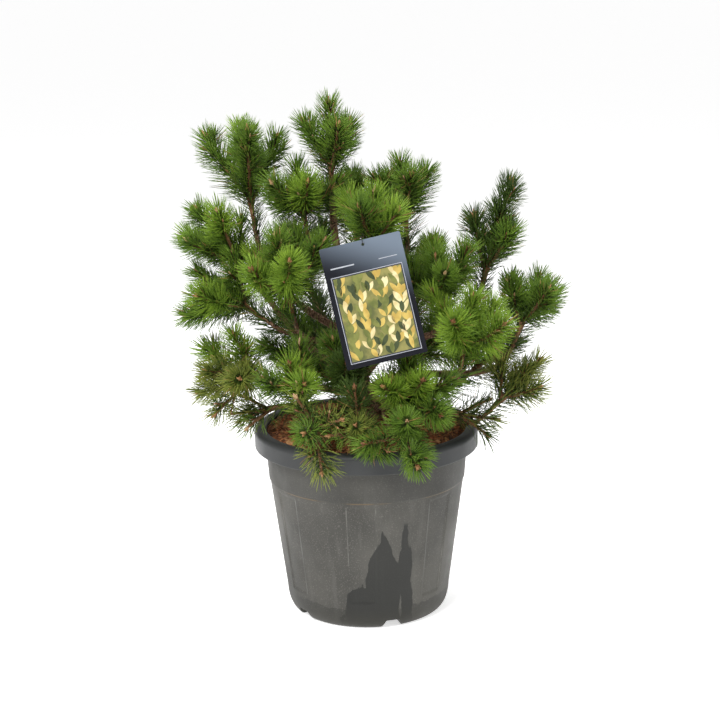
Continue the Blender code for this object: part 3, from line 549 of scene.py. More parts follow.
class Surface:
    """A Principled material that is put together from nodes, placed by the object's own metres."""

    def __init__(self, name, **settings):
        self.made = bpy.data.materials.new(name)
        self.made.use_nodes = True
        self.nodes = self.made.node_tree.nodes
        self.links = self.made.node_tree.links
        self.shader = self.nodes["Principled BSDF"]
        for key, value in settings.items():
            self.shader.inputs[key.replace("_", " ")].default_value = value
        self.places = self.nodes.new("ShaderNodeTexCoord").outputs["Object"]

    def put(self, socket, value):
        if isinstance(value, bpy.types.NodeSocket):
            self.links.new(value, socket)
        elif isinstance(value, tuple):
            socket.default_value = (*value, 1.0)
        else:
            socket.default_value = value

    def stretched(self, stretch):
        step = self.nodes.new("ShaderNodeMapping")
        step.inputs["Scale"].default_value = stretch
        self.links.new(self.places, step.inputs["Vector"])
        return step.outputs["Vector"]

    def noise(self, scale, detail=3.0, stretch=(1.0, 1.0, 1.0), distortion=0.0):
        step = self.nodes.new("ShaderNodeTexNoise")
        step.inputs["Scale"].default_value = scale
        step.inputs["Detail"].default_value = detail
        step.inputs["Distortion"].default_value = distortion
        self.links.new(self.stretched(stretch), step.inputs["Vector"])
        return step.outputs["Fac"]

    def cells(self, scale, stretch=(1.0, 1.0, 1.0)):
        step = self.nodes.new("ShaderNodeTexVoronoi")
        step.feature = "DISTANCE_TO_EDGE"
        step.inputs["Scale"].default_value = scale
        self.links.new(self.stretched(stretch), step.inputs["Vector"])
        return step.outputs["Distance"]

    def axis(self, name):
        step = self.nodes.new("ShaderNodeSeparateXYZ")
        self.links.new(self.places, step.inputs["Vector"])
        return step.outputs[name]

    def math(self, operation, first, second=0.0):
        step = self.nodes.new("ShaderNodeMath")
        step.operation = operation
        self.put(step.inputs[0], first)
        self.put(step.inputs[1], second)
        return step.outputs["Value"]

    def span(self, value, low, high, start=0.0, end=1.0):
        """The value brought from its low and high to a start and an end, softly, and kept there."""
        step = self.nodes.new("ShaderNodeMapRange")
        step.interpolation_type = "SMOOTHSTEP"
        self.put(step.inputs["Value"], value)
        for key, number in (("From Min", low), ("From Max", high), ("To Min", start), ("To Max", end)):
            self.put(step.inputs[key], number)
        return step.outputs["Result"]

    def mix(self, share, first, second):
        step = self.nodes.new("ShaderNodeMix")
        step.data_type = "RGBA"
        self.put(step.inputs["Factor"], share)
        self.put(step.inputs[MIX_FIRST], first)
        self.put(step.inputs[MIX_SECOND], second)
        return step.outputs[MIX_RESULT]

    def colour(self, value):
        self.put(self.shader.inputs["Base Color"], value)

    def rough(self, value):
        self.put(self.shader.inputs["Roughness"], value)

    def bump(self, height, distance, strength=1.0):
        step = self.nodes.new("ShaderNodeBump")
        step.inputs["Distance"].default_value = distance
        step.inputs["Strength"].default_value = strength
        self.links.new(height, step.inputs["Height"])
        self.links.new(step.outputs["Normal"], self.shader.inputs["Normal"])


def needle_surface(name, light, dark):
    """A waxy green with a slight change of tone from place to place."""
    made = Surface(name, Roughness=0.52, Specular_IOR_Level=0.22)
    made.colour(made.mix(made.span(made.noise(38.0, 2.0), 0.35, 0.65), light, dark))
    return made.made


def bark_surface(name, plate, crack, scale_colour, grain):
    made = Surface(name, Specular_IOR_Level=0.25)
    worn = made.span(made.noise(grain * 0.35, 3.0), 0.36, 0.62, 0.0, 0.6)
    edges = made.math("MAXIMUM", made.span(made.cells(grain, (1.0, 1.0, 0.6)), 0.0, 0.13), worn)
    body = made.mix(made.span(made.noise(90.0, 4.0), 0.35, 0.68), plate, scale_colour)
    body = made.mix(made.math("MULTIPLY", made.noise(480.0, 4.0), 0.55), body, crack)
    made.colour(made.mix(edges, crack, body))
    made.rough(made.span(made.noise(60.0), 0.3, 0.7, 0.75, 0.95))
    made.bump(made.math("ADD", edges, made.math("MULTIPLY", made.noise(700.0, 4.0), 0.6)), 0.0005, 0.7)
    return made.made


def tongue(made, tip_x, tip_height, root_half, root_height):
    """How far inside a pointed stain on the front each place is, in metres."""
    half = made.span(made.axis("Z"), root_height, tip_height, root_half, STAIN_TIP_HALF)
    past = made.span(made.axis("Z"), tip_height, tip_height + 0.010, 0.0, 0.020)
    aside = made.math("ABSOLUTE", made.math("SUBTRACT", made.axis("X"), tip_x))
    return made.math("SUBTRACT", made.math("SUBTRACT", half, past), aside)


def flute_edges(made):
    """One on both edges of each flute, the mask of a painted highlight along them."""
    heading = made.math("ARCTAN2", made.axis("Y"), made.axis("X"))
    turns = made.math("DIVIDE", made.math("SUBTRACT", heading, math.radians(FLUTE_HEADING)), 2 * math.pi / FLUTES)
    middle = made.math("SUBTRACT", made.math("FRACT", made.math("ADD", turns, 7.5)), 0.5)
    aside = made.math("ABSOLUTE", made.math("SUBTRACT", made.math("ABSOLUTE", middle), FLUTE_EDGE_SHARE))
    line = made.span(aside, 0.0, FLUTE_HIGHLIGHT_SHARE, 1.0, 0.0)
    height = made.axis("Z")
    ends = made.math("MULTIPLY", made.span(height, 0.052, 0.070), made.span(height, 0.225, 0.234, 1.0, 0.0))
    return made.math("MULTIPLY", line, ends)


def pot_surface():
    """Dark grey moulded plastic with dust, a bloom, water marks, a brown line under the collar and a painted
    highlight along the flute edges.
    """
    made = Surface("pot_plastic", Specular_IOR_Level=0.22)
    height = made.axis("Z")
    bloom = made.span(made.noise(6.0, 5.0), 0.36, 0.66)
    body = made.mix(bloom, (0.053, 0.0515, 0.046), (0.086, 0.083, 0.073))
    speckle = made.span(made.noise(480.0, 2.0), 0.56, 0.68)
    body = made.mix(made.math("MULTIPLY", speckle, 0.36), body, (0.180, 0.170, 0.150))
    streaks = made.span(made.noise(60.0, 3.0, (1.0, 1.0, 0.06)), 0.52, 0.72)
    body = made.mix(made.math("MULTIPLY", streaks, 0.26), body, (0.125, 0.121, 0.110))
    uneven = made.math("MULTIPLY", made.math("SUBTRACT", made.noise(52.0, 6.0, (1.0, 1.0, 0.30)), 0.5), 0.034)
    large = tongue(made, 0.0250, 0.205, 0.031, 0.095)
    small = tongue(made, 0.0630, 0.200, 0.010, 0.135)
    left = made.math("MULTIPLY", tongue(made, -0.0100, 0.086, 0.034, 0.066), 0.5)
    stain = made.math("MAXIMUM", made.math("MAXIMUM", large, small), left)
    ragged = made.math("MULTIPLY", uneven, made.span(stain, -STAIN_BEYOND, -STAIN_BEYOND / 2))
    front = made.span(made.axis("Y"), -0.10, -0.07, 1.0, 0.0)
    low = made.span(height, 0.194, 0.202, 1.0, 0.0)
    stain = made.math("MULTIPLY", made.span(made.math("ADD", stain, ragged), -0.0012, 0.0012), front)
    stain = made.math("MULTIPLY", stain, low)
    washed = made.math("MULTIPLY", made.math("SUBTRACT", FOOT_STAIN_HEIGHT, height), 1.5)
    washed = made.span(made.math("ADD", washed, uneven), -0.002, 0.002, 0.0, 0.5)
    stain = made.math("MAXIMUM", stain, washed)
    body = made.mix(made.math("MULTIPLY", stain, 0.88), body, (0.020, 0.0203, 0.0188))
    # A lighter line along both edges of each flute, broken up by noise and kept off the stains: a painted highlight
    flute_highlight = made.math("MULTIPLY", flute_edges(made), made.span(made.noise(22.0, 4.0), 0.42, 0.60))
    flute_highlight = made.math("MULTIPLY", flute_highlight, made.math("SUBTRACT", 1.0, stain))
    body = made.mix(made.math("MULTIPLY", flute_highlight, 0.75), body, (0.170, 0.165, 0.150))
    olive = made.math("MULTIPLY", made.span(height, 0.0, 0.050, 1.0, 0.0), 0.55)
    body = made.mix(olive, body, (0.040, 0.038, 0.029))
    collar = made.math("MULTIPLY", made.span(height, POT_STEP_HEIGHT - 0.001, POT_STEP_HEIGHT + 0.003), 0.36)
    body = made.mix(collar, body, (0.038, 0.038, 0.035))
    lip = made.math("MULTIPLY", made.span(height, LIP_BOTTOM - 0.001, LIP_BOTTOM + 0.002), 0.80)
    body = made.mix(lip, body, (0.029, 0.0315, 0.034))
    line = made.math("MULTIPLY", made.span(height, 0.2390, 0.2408), made.span(height, 0.2412, 0.2432, 1.0, 0.0))
    line = made.math("MULTIPLY", line, made.span(made.noise(14.0, 4.0), 0.44, 0.58))
    made.colour(made.mix(made.math("MULTIPLY", line, 0.75), body, (0.140, 0.095, 0.050)))
    gloss = made.span(made.noise(18.0, 4.0), 0.3, 0.7, 0.48, 0.62)
    shine = made.math("ADD", made.math("MULTIPLY", stain, 0.12), made.math("MULTIPLY", lip, 0.16))
    made.rough(made.math("SUBTRACT", gloss, shine))
    made.bump(made.math("ADD", made.noise(650.0, 2.0), made.math("MULTIPLY", made.noise(60.0), 0.5)), 0.0002, 0.5)
    return made.made


def soil_surface(name, light, dark):
    made = Surface(name, Specular_IOR_Level=0.2)
    made.colour(made.mix(made.span(made.noise(160.0, 5.0), 0.32, 0.68), dark, light))
    made.rough(made.span(made.noise(90.0), 0.3, 0.7, 0.82, 1.0))
    made.bump(made.noise(900.0, 4.0), 0.0006, 0.8)
    return made.made


def bud_surface(name, tip, foot):
    made = Surface(name, Specular_IOR_Level=0.4)
    made.colour(made.mix(made.span(made.noise(420.0, 3.0), 0.35, 0.65), tip, foot))
    made.rough(made.span(made.noise(300.0), 0.3, 0.7, 0.42, 0.62))
    made.bump(made.cells(900.0), 0.0002, 0.5)
    return made.made


def card_surface():
    """Glossy card, dark slate below and blue-grey above, lighter towards its top right as a painted sheen, with the
    faintest mottle.
    """
    made = Surface("card_front", Coat_Weight=0.05, Coat_Roughness=0.20, Specular_IOR_Level=0.16)
    # Dark below and light above, and lighter towards the right: a painted sheen over the card's own tone
    slant_with_sheen = made.math("ADD", made.axis("Z"), made.math("MULTIPLY", made.axis("X"), CARD_SHEEN_ASIDE))
    fade = made.span(slant_with_sheen, CARD_DARK_UNDER, CARD_LIGHT_OVER)
    body = made.mix(fade, (0.004, 0.004, 0.007), (0.134, 0.165, 0.207))
    made.colour(made.mix(made.math("MULTIPLY", made.noise(45.0, 4.0), 0.03), body, (0.20, 0.22, 0.27)))
    made.rough(made.span(made.noise(70.0), 0.3, 0.7, 0.28, 0.36))
    return made.made


def print_surface(name, light, dark, scale=60.0):
    made = Surface(name, Coat_Weight=0.08, Coat_Roughness=0.20, Specular_IOR_Level=0.3)
    made.colour(made.mix(made.span(made.noise(scale, 4.0), 0.35, 0.65), light, dark))
    made.rough(made.span(made.noise(90.0), 0.3, 0.7, 0.28, 0.38))
    return made.made


def strap_surface():
    made = Surface("strap_black", Specular_IOR_Level=0.4)
    made.colour(made.mix(made.noise(300.0), (0.010, 0.010, 0.010), (0.022, 0.022, 0.022)))
    made.rough(made.span(made.noise(200.0), 0.3, 0.7, 0.45, 0.65))
    return made.made


# Pot
def fluted(radius, height, headings):
    """The wall's radius at each heading, less where a flute runs down it."""
    period = 360.0 / FLUTES
    aside = np.abs((headings - FLUTE_HEADING + period / 2) % period - period / 2)
    across = ease((FLUTE_HALF_WIDTH + FLUTE_SLOPE / 2 - aside) / FLUTE_SLOPE)
    ends = ease((height - FLUTE_BOTTOM + 0.003) / 0.006) * ease((FLUTE_TOP + 0.003 - height) / 0.006)
    return radius - FLUTE_DEPTH * across * ends


def arc(centre, radius, start, end, count=6):
    turns = np.radians(np.linspace(start, end, count))
    return [(centre[0] + radius * math.cos(t), centre[1] + radius * math.sin(t)) for t in turns]


def stepped(profile, step):
    """A profile with more places wherever two are further apart than a step."""
    return [tuple(place) for place in evenly(np.array(profile), step)]


def pot_profile():
    """(radius, height) from the middle of the foot, up the outside, over the lip and down the inside."""
    edge = 0.0016
    foot = bezier([np.array(place) for place in ((0.128, 0.0), (0.138, 0.002), (0.1450, 0.016), (0.146, 0.040))], 12)
    roll = (LIP_RADIUS - LIP_ROUND, POT_HEIGHT - LIP_ROUND)
    under = POT_HEIGHT - 2 * POT_WALL
    skirt = LIP_RADIUS - 2 * edge
    mouth = COLLAR_TOP_RADIUS - POT_WALL
    flute_ends = [FLUTE_BOTTOM, FLUTE_TOP]
    wall = []
    for height in (*np.linspace(-0.004, 0.004, 7) + flute_ends[0], *np.linspace(-0.004, 0.004, 7) + flute_ends[1]):
        share = (height - POT_EDGE_TOP) / (POT_STEP_HEIGHT - POT_EDGE_TOP)
        wall.append((POT_EDGE_RADIUS + (POT_STEP_RADIUS - POT_EDGE_RADIUS) * share, height))
    return [
        (0.0, 0.0),
        (0.06, 0.0),
        *stepped([*map(tuple, foot), *wall, (POT_STEP_RADIUS, POT_STEP_HEIGHT - 0.0004)], 0.014),
        (POT_STEP_RADIUS + 0.0005, POT_STEP_HEIGHT),
        (COLLAR_RADIUS - 0.0004, POT_STEP_HEIGHT + 0.0008),
        (COLLAR_RADIUS, POT_STEP_HEIGHT + COLLAR_LEDGE),
        *stepped([(COLLAR_RADIUS + 0.0002, POT_STEP_HEIGHT + 0.004), (COLLAR_TOP_RADIUS, under - 0.002)], 0.014),
        (COLLAR_TOP_RADIUS + 0.001, under),
        (skirt - 0.001, under),
        (skirt, under - 0.001),
        *arc((LIP_RADIUS - edge, LIP_BOTTOM + edge), edge, 180, 360, 7),
        *stepped([(LIP_RADIUS, LIP_BOTTOM + 0.003), (LIP_RADIUS, roll[1] - 0.001)], 0.008),
        *arc(roll, LIP_ROUND, 0, 90, 9),
        *arc((mouth + MOUTH_EASE, POT_HEIGHT - MOUTH_EASE), MOUTH_EASE, 90, 180, 6),
        (mouth, LIP_BOTTOM),
        (POT_STEP_RADIUS - POT_WALL, POT_STEP_HEIGHT),
        (POT_EDGE_RADIUS - POT_WALL, POT_EDGE_TOP),
        (0.0, POT_EDGE_TOP - 0.010),
    ]


def pot_headings():
    """Columns that crowd at both slopes of each flute."""
    period = 360.0 / FLUTES
    slope = np.linspace(-FLUTE_SLOPE * 0.6, FLUTE_SLOPE * 0.6, 6)
    floor = np.linspace(-FLUTE_HALF_WIDTH + 3.0, FLUTE_HALF_WIDTH - 3.0, 4)
    between = np.linspace(FLUTE_HALF_WIDTH + 3.0, period - FLUTE_HALF_WIDTH - 3.0, 11)
    offsets = [*(slope - FLUTE_HALF_WIDTH), *floor, *(slope + FLUTE_HALF_WIDTH), *between]
    return np.array([FLUTE_HEADING + period * flute + turn for flute in range(FLUTES) for turn in offsets])


def prism(name, outline, start, end, heading):
    """A solid whose outline of (across, up) places runs outward along a heading."""
    along = at(heading, 1.0, 0.0)
    across = np.array([-along[1], along[0], 0.0])
    up = np.array([0.0, 0.0, 1.0])
    corners = [across * a + up * u + along * start for a, u in outline]
    corners += [across * a + up * u + along * end for a, u in outline]
    count = len(outline)
    faces = [tuple(reversed(range(count))), tuple(range(count, 2 * count))]
    faces += [(here, (here + 1) % count, count + (here + 1) % count, count + here) for here in range(count)]
    return polygon_piece(name, corners, faces, None)


def build_pot(surface):
    headings = pot_headings()
    profile = pot_profile()
    sides = len(headings)
    turns = np.radians(headings)
    corners = [[(0.0, 0.0, profile[0][1])]]
    for radius, height in profile[1:-1]:
        outside = height < LIP_BOTTOM and radius > POT_EDGE_RADIUS - 0.001
        reach = fluted(radius, height, headings) if outside else np.full(sides, radius)
        corners.append(np.stack([reach * np.cos(turns), reach * np.sin(turns), np.full(sides, height)], axis=1))
    corners.append([(0.0, 0.0, profile[-1][1])])
    corners = np.concatenate(corners)
    body = ring_faces(len(profile) - 2, sides) + 1
    side = np.arange(sides)
    after = (side + 1) % sides
    top = len(corners) - 1
    foot = np.stack([1 + after, 1 + side, np.zeros(sides, int)], axis=1)
    floor = np.stack([top - sides + side, top - sides + after, np.full(sides, top)], axis=1)
    pot = triangle_piece("pot_body", corners, np.concatenate([body, foot, floor]), [surface])
    half_foot = NOTCH_FOOT_WIDTH / 2
    half_roof = NOTCH_ROOF_WIDTH / 2
    round_by = 0.003
    roof = [
        *arc((half_roof - round_by, NOTCH_HEIGHT - round_by), round_by, 20, 90, 5),
        *arc((-half_roof + round_by, NOTCH_HEIGHT - round_by), round_by, 90, 160, 5),
    ]
    outline = [(-half_foot, 0.0), (-half_foot, -CUT_PAST), (half_foot, -CUT_PAST), (half_foot, 0.0), *roof]
    cutters = []
    for notch in range(NOTCHES):
        heading = NOTCH_HEADING + 360.0 / NOTCHES * notch
        cutters.append(prism("notch", outline, NOTCH_INNER_RADIUS, LIP_RADIUS, heading))
        ends = np.array([at(heading, DRAIN_AT_RADIUS, height) for height in (0.010, NOTCH_HEIGHT + 0.008)])
        hole, faces = tube(ends, np.full(2, DRAIN_RADIUS), 20)
        cutters.append(triangle_piece("drain", hole, faces, []))
    cut_away(pot, cutters)
    soften(pot, 38.0)
    return on_frame(pot, "pot", "pot")


# Soil: loose on its top, so that it stands a little higher at the wall than the solid
LOOSE_AT_WALL = 0.3262
LOOSE_SLOPE = ((0.145, 0.3282), (0.100, 0.3335))
CHIPS = 2300
CHIP_SIZE = (0.0045, 0.0125)
FIBRES = 1300
FALLEN_NEEDLES = 260


def soil_height(reach):
    """The soil's height at each distance from the middle."""
    places = [(0.0, SOIL_TOP), (SOIL_LEVEL_RADIUS, SOIL_TOP), *reversed(LOOSE_SLOPE)]
    places.append((COLLAR_TOP_RADIUS - POT_WALL, LOOSE_AT_WALL))
    return np.interp(reach, *zip(*places))


def build_soil(surface):
    """A lumpy top with a skirt under it, closed below."""
    columns = 220
    reaches = np.concatenate([np.linspace(0.002, COLLAR_TOP_RADIUS - POT_WALL - GAP, 72)])
    turns = np.arange(columns) * 2 * math.pi / columns
    reach, turn = np.meshgrid(reaches, turns, indexing="ij")
    top = np.stack([reach * np.cos(turn), reach * np.sin(turn), soil_height(reach)], axis=-1).reshape(-1, 3)
    rough = lumps(top, 0.022, 1) * 0.0035 + lumps(top, 0.009, 2) * 0.0022 + lumps(top, 0.004, 3) * 0.0010
    edge = ease((COLLAR_TOP_RADIUS - POT_WALL - np.hypot(top[:, 0], top[:, 1])) / 0.010)
    top[:, 2] += rough * (0.3 + 0.7 * edge)
    last = top[-columns:].copy()
    last[:, 2] = SOIL_AT_WALL - 0.020
    corners = np.concatenate([top, last, [[0.0, 0.0, SOIL_TOP], [0.0, 0.0, SOIL_AT_WALL - 0.020]]])
    count = len(reaches) + 1
    side = np.arange(columns)
    after = (side + 1) % columns
    middle = count * columns
    start = np.stack([after, side, np.full(columns, middle)], axis=1)
    outer = (count - 1) * columns
    under = np.stack([outer + side, outer + after, np.full(columns, middle + 1)], axis=1)
    triangles = np.concatenate([ring_faces(count, columns), start, under])[:, ::-1]
    return on_frame(triangle_piece("soil_body", corners, triangles, [surface]), "soil", "soil")


def ball():
    """The corners and triangles of a twenty-sided ball."""
    golden = (1 + math.sqrt(5)) / 2
    corners = []
    for a, b in itertools.product((-1, 1), (-golden, golden)):
        corners += [(0, a, b), (a, b, 0), (b, 0, a)]
    corners = units(np.array(corners, float))
    faces = []
    for three in itertools.combinations(range(12), 3):
        a, b, c = corners[list(three)]
        if max(np.linalg.norm(a - b), np.linalg.norm(b - c), np.linalg.norm(c - a)) < 1.1:
            outward = np.dot(np.cross(b - a, c - a), a + b + c) > 0
            faces.append(three if outward else three[::-1])
    return corners, np.array(faces)


def on_soil(noise, margin):
    """A place on the soil, off the trunk, with all directions round it alike."""
    reach = (COLLAR_TOP_RADIUS - POT_WALL - margin) * math.sqrt(noise.uniform(0.012, 1.0))
    place = at(noise.uniform(0, 360), reach, 0.0)
    place[2] = soil_height(reach)
    return place


def tumbled(noise, flat):
    """Three directions square to each other, the last one mostly upright."""
    up = unit(np.array([noise.gauss(0, flat), noise.gauss(0, flat), 1.0]))
    way = at(noise.uniform(0, 360), 1.0, 0.0)
    way = unit(way - up * np.dot(way, up))
    return np.array([way, np.cross(up, way), up])


def build_chips(surfaces):
    """Bark chips, each a squashed ball with its corners moved."""
    noise = random.Random(SEED + 7)
    corners, faces = ball()
    parts = []
    tones = []
    for _ in range(CHIPS):
        size = noise.uniform(*CHIP_SIZE) * noise.uniform(0.6, 1.0)
        shape = np.array([1.0, noise.uniform(0.35, 0.75), noise.uniform(0.14, 0.32)]) * size
        moved = corners * (1 + np.array([noise.uniform(-0.32, 0.22) for _ in range(12)])[:, None])
        place = on_soil(noise, 0.010) + np.array([0.0, 0.0, noise.uniform(-0.001, 0.0035)])
        parts.append((place + (moved * shape) @ tumbled(noise, 0.42), faces))
        tones += [noise.choice((0, 0, 1, 1, 2, 3))] * len(faces)
    chips = triangle_piece("soil_chips", *joined(parts), surfaces, tones)
    soften(chips, 40.0)
    return on_frame(chips, "soil", "soil")


def build_fibres(surface, dry):
    """Thin strands lying about on the soil, and needles that have fallen and turned brown."""
    noise = random.Random(SEED + 8)
    parts = []
    tones = []
    for number in range(FIBRES + FALLEN_NEEDLES):
        fallen = number >= FIBRES
        length = noise.uniform(0.030, 0.046) if fallen else noise.uniform(0.012, 0.040)
        margin = 0.004 + length * 0.5
        place = on_soil(noise, margin) + np.array([0.0, 0.0, noise.uniform(0.002, 0.005)])
        way, side, up = tumbled(noise, 0.30 if fallen else 0.55)
        t = np.linspace(-0.5, 0.5, 3 if fallen else 5)[:, None]
        bend = noise.uniform(-0.10, 0.10) if fallen else noise.uniform(-0.5, 0.5)
        rise = noise.uniform(0.0, 0.10) if fallen else noise.uniform(-0.1, 0.35)
        line = place + length * (way * t + side * bend * (t**2 - 0.08) - up * rise * (t**2 - 0.12))
        line[:, 2] = np.maximum(line[:, 2], soil_height(np.hypot(line[:, 0], line[:, 1])) + 0.0005)
        radius = 0.0006 if fallen else noise.uniform(0.00035, 0.0008)
        tapered = radius * np.linspace(1.0, 0.45, len(line))
        parts.append(tube(line, tapered, 3))
        tones += [1 if fallen else 0] * len(parts[-1][1])
    return on_frame(triangle_piece("soil_fibres", *joined(parts), [surface, dry], tones), "soil", "soil")


# Trunk and boughs
def trunk_limb():
    foot = np.array([*TRUNK_FOOT, SOIL_TOP + GAP])
    leader = MASSES[0]
    top = toward(leader.top_heading, leader.top_lean)
    tip = at(leader.heading, leader.reach, leader.height) - top * (STEM_LENGTH + GAP)
    pull = (tip[2] - foot[2]) / 3
    start = foot + toward(TRUNK_HEADING, TRUNK_LEAN) * pull
    end = tip - top * pull
    joint = tip - top * BOUGH_STRAIGHT
    knee = foot + np.array([0.0, 0.0, TRUNK_UPRIGHT])
    run = bezier((knee, start, end, joint), TRUNK_RINGS - 2)
    points = np.concatenate([[foot], run, [tip]])
    share = np.linspace(0.0, 1.0, TRUNK_RINGS)
    rise = points[:, 2] - foot[2]
    radii = TRUNK_RADIUS + (TRUNK_TIP_RADIUS - TRUNK_RADIUS) * share
    radii = radii + TRUNK_FLARE * np.maximum(0.0, 1 - rise / TRUNK_FLARE_HEIGHT) ** 2
    return Limb(points, radii, TRUNK_SIDES)


def bough_limb(mass, parent):
    """A bough from its parent's middle to a stem's length short of the whorl."""
    start, way = along_line(parent.points, mass.along)
    whorl = at(mass.heading, mass.reach, mass.height)
    top = toward(mass.top_heading, mass.top_lean)
    tip = whorl - top * (STEM_LENGTH + GAP)
    span = np.linalg.norm(tip - start)
    out = tip - start
    out = unit(out - way * np.dot(out, way))
    leaves = turned(way, unit(np.cross(way, out)), BOUGH_LEAVES_AT)
    joint = tip - top * BOUGH_STRAIGHT
    ends = (start, start + leaves * span * BOUGH_START_PULL, joint - top * span * BOUGH_END_PULL, joint)
    points = np.concatenate([bezier(ends, BOUGH_RINGS - 1), [tip]])
    widest = np.interp(mass.along, np.linspace(0, 1, len(parent.radii)), parent.radii)
    radius = min(BOUGH_RADIUS + BOUGH_RADIUS_PER_LENGTH * span, widest * BOUGH_TO_PARENT)
    radii = np.linspace(radius, BOUGH_TIP_RADIUS, BOUGH_RINGS)
    return Limb(points, radii, BOUGH_SIDES)


def grow_limbs():
    limbs = {"trunk": trunk_limb()}
    for mass in MASSES[1:]:
        limbs[mass.name] = bough_limb(mass, limbs[mass.parent])
    return limbs


def build_bark(limbs, surface):
    """Trunk and boughs as one skin that flows from limb to limb, with plates of bark in relief."""
    parts = []
    for name, limb in limbs.items():
        points, radii = limb.points, limb.radii
        if name == "trunk":
            points = np.concatenate([[points[0] - np.array([0.0, 0.0, INTO_SOIL])], points])
            radii = np.concatenate([[radii[0] * 1.1], radii])
        line, thick = smooth_line(points, radii, LIMB_STEP)
        swell = 1 + 0.07 * lumps(line, 0.016, 4)
        parts.append(tube(line, thick * swell, LIMB_SIDES))
    bark = triangle_piece("bark_skin", *joined(parts), [surface])
    skin = bark.modifiers.new("skin", "REMESH")
    skin.mode = "VOXEL"
    skin.voxel_size = LIMB_VOXEL
    calm = bark.modifiers.new("calm", "SMOOTH")
    calm.factor = 0.5
    calm.iterations = 3
    apply_modifiers(bark)
    mesh = bark.data
    corners = np.empty(len(mesh.vertices) * 3, np.float32)
    mesh.vertices.foreach_get("co", corners)
    normals = np.empty(len(mesh.vertices) * 3, np.float32)
    mesh.vertex_normals.foreach_get("vector", normals)
    corners = corners.reshape(-1, 3).astype(float)
    normals = normals.reshape(-1, 3)
    drawn = corners * np.array([1.0, 1.0, 0.6])
    relief = np.minimum(plates(drawn, 0.0062, 11) * 2.6, 1.0) * 0.0007
    relief += lumps(corners, 0.0045, 12) * 0.0004
    corners += normals * (relief - 0.0002)[:, None]
    mesh.vertices.foreach_set("co", corners.astype(np.float32).ravel())
    mesh.update()
    mesh.shade_smooth()
    nodes = ["trunk", *("bough_" + mass.name for mass in MASSES[1:])]
    return on_frame(bark, "bark", *nodes)


# Label and tie
def tag_axes():
    """The card's own right, back and up directions."""
    right = turned(np.array([1.0, 0.0, 0.0]), np.array([0.0, 1.0, 0.0]), TAG_TURN)
    up = turned(np.array([0.0, 0.0, 1.0]), np.array([0.0, 1.0, 0.0]), TAG_TURN)
    lean = np.array([1.0, 0.0, 0.0])
    right = turned(right, lean, TAG_LEAN)
    up = turned(up, lean, TAG_LEAN)
    return right, np.cross(up, right), up


def tag_place(aside, back, up):
    axes = tag_axes()
    return np.array(TAG_AT) + axes[0] * aside + axes[1] * back + axes[2] * up


def tag_hole():
    return TAG_HOLE_ASIDE, TAG_HEIGHT / 2 - TAG_HOLE_BELOW_EDGE


def closed_curve(knots, count):
    """Even places on a smooth closed line through the knots."""
    knots = np.array(knots)
    fine = []
    for here in range(len(knots)):
        a, b, c, d = (knots[(here + step) % len(knots)] for step in (-1, 0, 1, 2))
        for t in np.linspace(0.0, 1.0, CURVE_STEPS, endpoint=False):
            run = 2 * b + (c - a) * t + (2 * a - 5 * b + 4 * c - d) * t**2
            fine.append(0.5 * (run + (3 * b - a - 3 * c + d) * t**3))
    fine = np.array(fine)
    steps = np.linalg.norm(np.roll(fine, -1, 0) - fine, axis=1)
    reach = np.concatenate([[0.0], np.cumsum(steps)])
    wanted = np.linspace(0.0, reach[-1], count, endpoint=False)
    again = np.concatenate([fine, fine[:1]])
    return np.stack([np.interp(wanted, reach, again[:, axis]) for axis in range(3)], axis=1)


def tie_route(limbs, count):
    """A closed line through the card's hole, over its top edge and round the bough behind it."""
    limb = limbs[TIE_BOUGH]
    middle, way = along_line(limb.points, TIE_ALONG)
    radius = np.interp(TIE_ALONG, np.linspace(0, 1, len(limb.radii)), limb.radii)
    room = radius + TIE_RADIUS + TIE_SLACK
    aside, hole_up = tag_hole()
    hole = tag_place(aside, 0.0, hole_up)
    back = unit((middle - hole) - way * np.dot(middle - hole, way))
    left = np.cross(back, way)
    over, under = (tag_place(aside, off, hole_up + up) for off, up in (TIE_OVER_EDGE, TIE_BEHIND))
    bends = np.radians(np.linspace(-90.0, 90.0, TIE_BENDS))
    knots = [
        *(tag_place(aside, off, hole_up + up) for off, up in TIE_IN_FRONT),
        over,
        over + unit(middle - over) * TIE_LEAD,
        *(middle + room * (left * math.sin(bend) + back * math.cos(bend)) for bend in bends),
        under + unit(middle - under) * TIE_LEAD,
        under,
    ]
    return closed_curve(knots, count)


def build_tie(limbs, surface):
    route = tie_route(limbs, 180)
    sides = 8
    found = rings(route, np.full(len(route), TIE_RADIUS), sides, closed=True)
    tie = triangle_piece("strap_loop", found.reshape(-1, 3), ring_faces(len(route), sides, closed=True), [surface])
    return on_frame(tie, "strap", "tag_tie")


def placed_like_tag(piece):
    piece.location = TAG_AT
    piece.rotation_mode = "YXZ"
    piece.rotation_euler = (math.radians(TAG_LEAN), math.radians(TAG_TURN), 0.0)
    return on_frame(piece, "card", "tag")


def card_prism(outline, front, back):
    """The corners and faces of a thin shape that lies in the card's plane."""
    count = len(outline)
    corners = [(a, front, u) for a, u in outline] + [(a, back, u) for a, u in outline]
    faces = [tuple(range(count)), tuple(reversed(range(count, 2 * count)))]
    faces += [(here, count + here, count + (here + 1) % count, (here + 1) % count) for here in range(count)]
    return corners, faces


def rectangle(left, right, low, high):
    return [(left, low), (right, low), (right, high), (left, high)]


# The print: its frame line, the picture inside it and the rules above it
FRAME_LEFT, FRAME_RIGHT = -0.0591, 0.0595
FRAME_LOW, FRAME_HIGH = -0.093, 0.051
FRAME_LINE = 0.0010
FRAME_INSIDE = 0.0030
LEFT_RULE = (-0.0560, -0.0170, 0.0640, 0.0662)
RIGHT_RULE = (0.0240, 0.0545, 0.0640, 0.0652)
PRINT_PROUD = 0.00012
LEAF_ROWS = 9
LEAVES_IN_FAN = 3
LEAF_LEAN = 31.0


